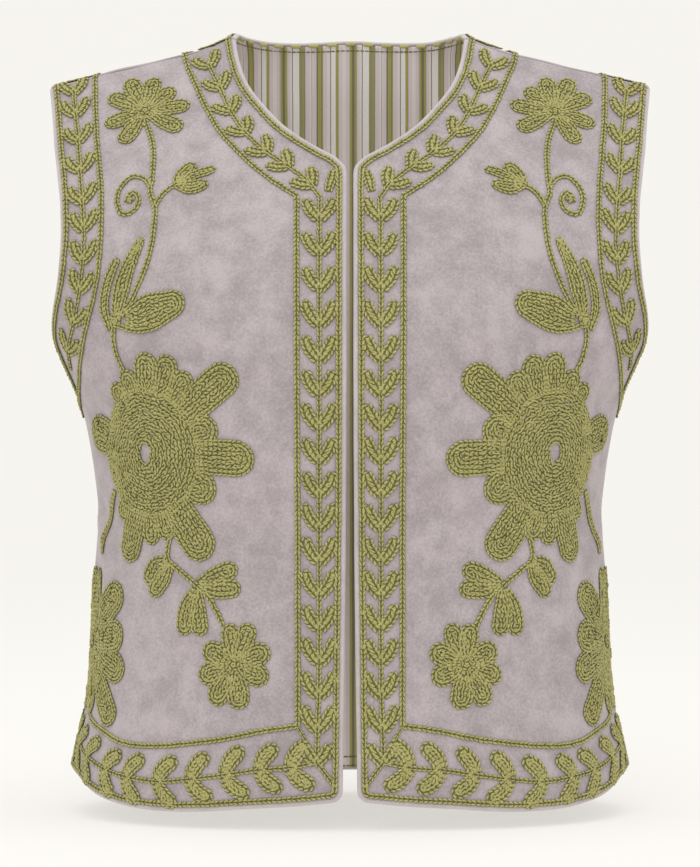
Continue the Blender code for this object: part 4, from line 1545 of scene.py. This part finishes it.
class WAISTCOAT_OT_stage(bpy.types.Operator):
    """Set the pale floor, the soft light and the camera"""

    bl_idname = "waistcoat.stage"
    bl_label = "Stage"

    def execute(self, context):
        settings = context.scene.waistcoat_stage
        self.make_floor(settings)
        for name, (place, size, share) in LIGHTS.items():
            self.make_light(name, place, size, share * settings.key_power)
        self.make_sky(settings)
        self.make_camera()
        context.scene.view_settings.view_transform = "Standard"
        return {"FINISHED"}

    def make_floor(self, settings):
        """A floor that sweeps up behind into a backdrop."""
        sweep = bmesh.new()
        angles = np.radians(np.linspace(0.0, 90.0, 13))
        curve = [(SWEEP_START + SWEEP_RADIUS * np.sin(a), SWEEP_RADIUS - SWEEP_RADIUS * np.cos(a))
                 for a in angles]
        profile = [(FLOOR_FRONT, 0.0)] + curve + [(SWEEP_START + SWEEP_RADIUS, WALL_TOP)]
        line = [sweep.verts.new((-FLOOR_SIDE, y, settings.floor_height + z)) for y, z in profile]
        edges = [sweep.edges.new(pair) for pair in zip(line[:-1], line[1:])]
        made = bmesh.ops.extrude_edge_only(sweep, edges=edges)["geom"]
        moved = [item for item in made if isinstance(item, bmesh.types.BMVert)]
        bmesh.ops.translate(sweep, verts=moved, vec=(2.0 * FLOOR_SIDE, 0.0, 0.0))
        bmesh.ops.recalc_face_normals(sweep, faces=sweep.faces[:])
        mesh = bpy.data.meshes.new("floor")
        sweep.to_mesh(mesh)
        sweep.free()
        mesh.shade_smooth()
        paper = floor_finish(tuple(settings.floor_colour), settings.floor_glow)
        floor = new_piece("floor", mesh, paper)

    def make_light(self, name, place, size, power):
        light = bpy.data.lights.new(name, "AREA")
        light.shape = "DISK"
        light.size = size
        light.energy = power
        lamp = bpy.data.objects.new(name, light)
        lamp.location = place
        aim = Vector(LIGHT_AIM) - Vector(place)
        lamp.rotation_euler = aim.to_track_quat("-Z", "Y").to_euler()
        bpy.context.scene.collection.objects.link(lamp)

    def make_sky(self, settings):
        world = bpy.data.worlds.new("studio")
        world.use_nodes = True
        sky = world.node_tree.nodes["Background"]
        sky.inputs["Color"].default_value = (1.0, 0.995, 0.985, 1.0)
        sky.inputs["Strength"].default_value = settings.sky_strength
        bpy.context.scene.world = world

    def make_camera(self):
        camera = bpy.data.cameras.new("camera")
        camera.lens = CAMERA_LENS
        camera.sensor_width = SENSOR_WIDTH
        view = bpy.data.objects.new("camera", camera)
        view.location = CAMERA_PLACE
        view.rotation_euler = (np.radians(90.0), 0.0, 0.0)
        bpy.context.scene.collection.objects.link(view)
        bpy.context.scene.camera = view


class WAISTCOAT_PT_panel(bpy.types.Panel):
    """Sizes, colours and steps of the waistcoat"""

    bl_idname = "WAISTCOAT_PT_panel"
    bl_label = "Embroidered waistcoat"
    bl_space_type = "VIEW_3D"
    bl_region_type = "UI"
    bl_category = "Waistcoat"

    def draw(self, context):
        layout = self.layout
        for group in ("waistcoat_cloth", "waistcoat_stitches", "waistcoat_stage"):
            settings = getattr(context.scene, group)
            box = layout.box()
            for name in settings.bl_rna.properties.keys():
                if name not in ("rna_type", "name"):
                    box.prop(settings, name)
        for operator in OPERATORS:
            layout.operator(operator.bl_idname)


SETTINGS = (
    ("waistcoat_cloth", ClothSettings),
    ("waistcoat_stitches", StitchSettings),
    ("waistcoat_stage", StageSettings),
)
OPERATORS = (WAISTCOAT_OT_stage, WAISTCOAT_OT_cloth, WAISTCOAT_OT_borders, WAISTCOAT_OT_sprays,
             WAISTCOAT_OT_edge_stitches)


def register():
    for name, group in SETTINGS:
        bpy.utils.register_class(group)
        setattr(bpy.types.Scene, name, bpy.props.PointerProperty(type=group))
    for operator in OPERATORS:
        bpy.utils.register_class(operator)
    bpy.utils.register_class(WAISTCOAT_PT_panel)


def unregister():
    bpy.utils.unregister_class(WAISTCOAT_PT_panel)
    for operator in reversed(OPERATORS):
        bpy.utils.unregister_class(operator)
    for name, group in reversed(SETTINGS):
        delattr(bpy.types.Scene, name)
        bpy.utils.unregister_class(group)


def main():
    register()
    bpy.ops.waistcoat.stage()
    bpy.ops.waistcoat.cloth()
    bpy.ops.waistcoat.borders()
    bpy.ops.waistcoat.sprays()
    bpy.ops.waistcoat.edge_stitches()


if __name__ == "__main__":
    main()
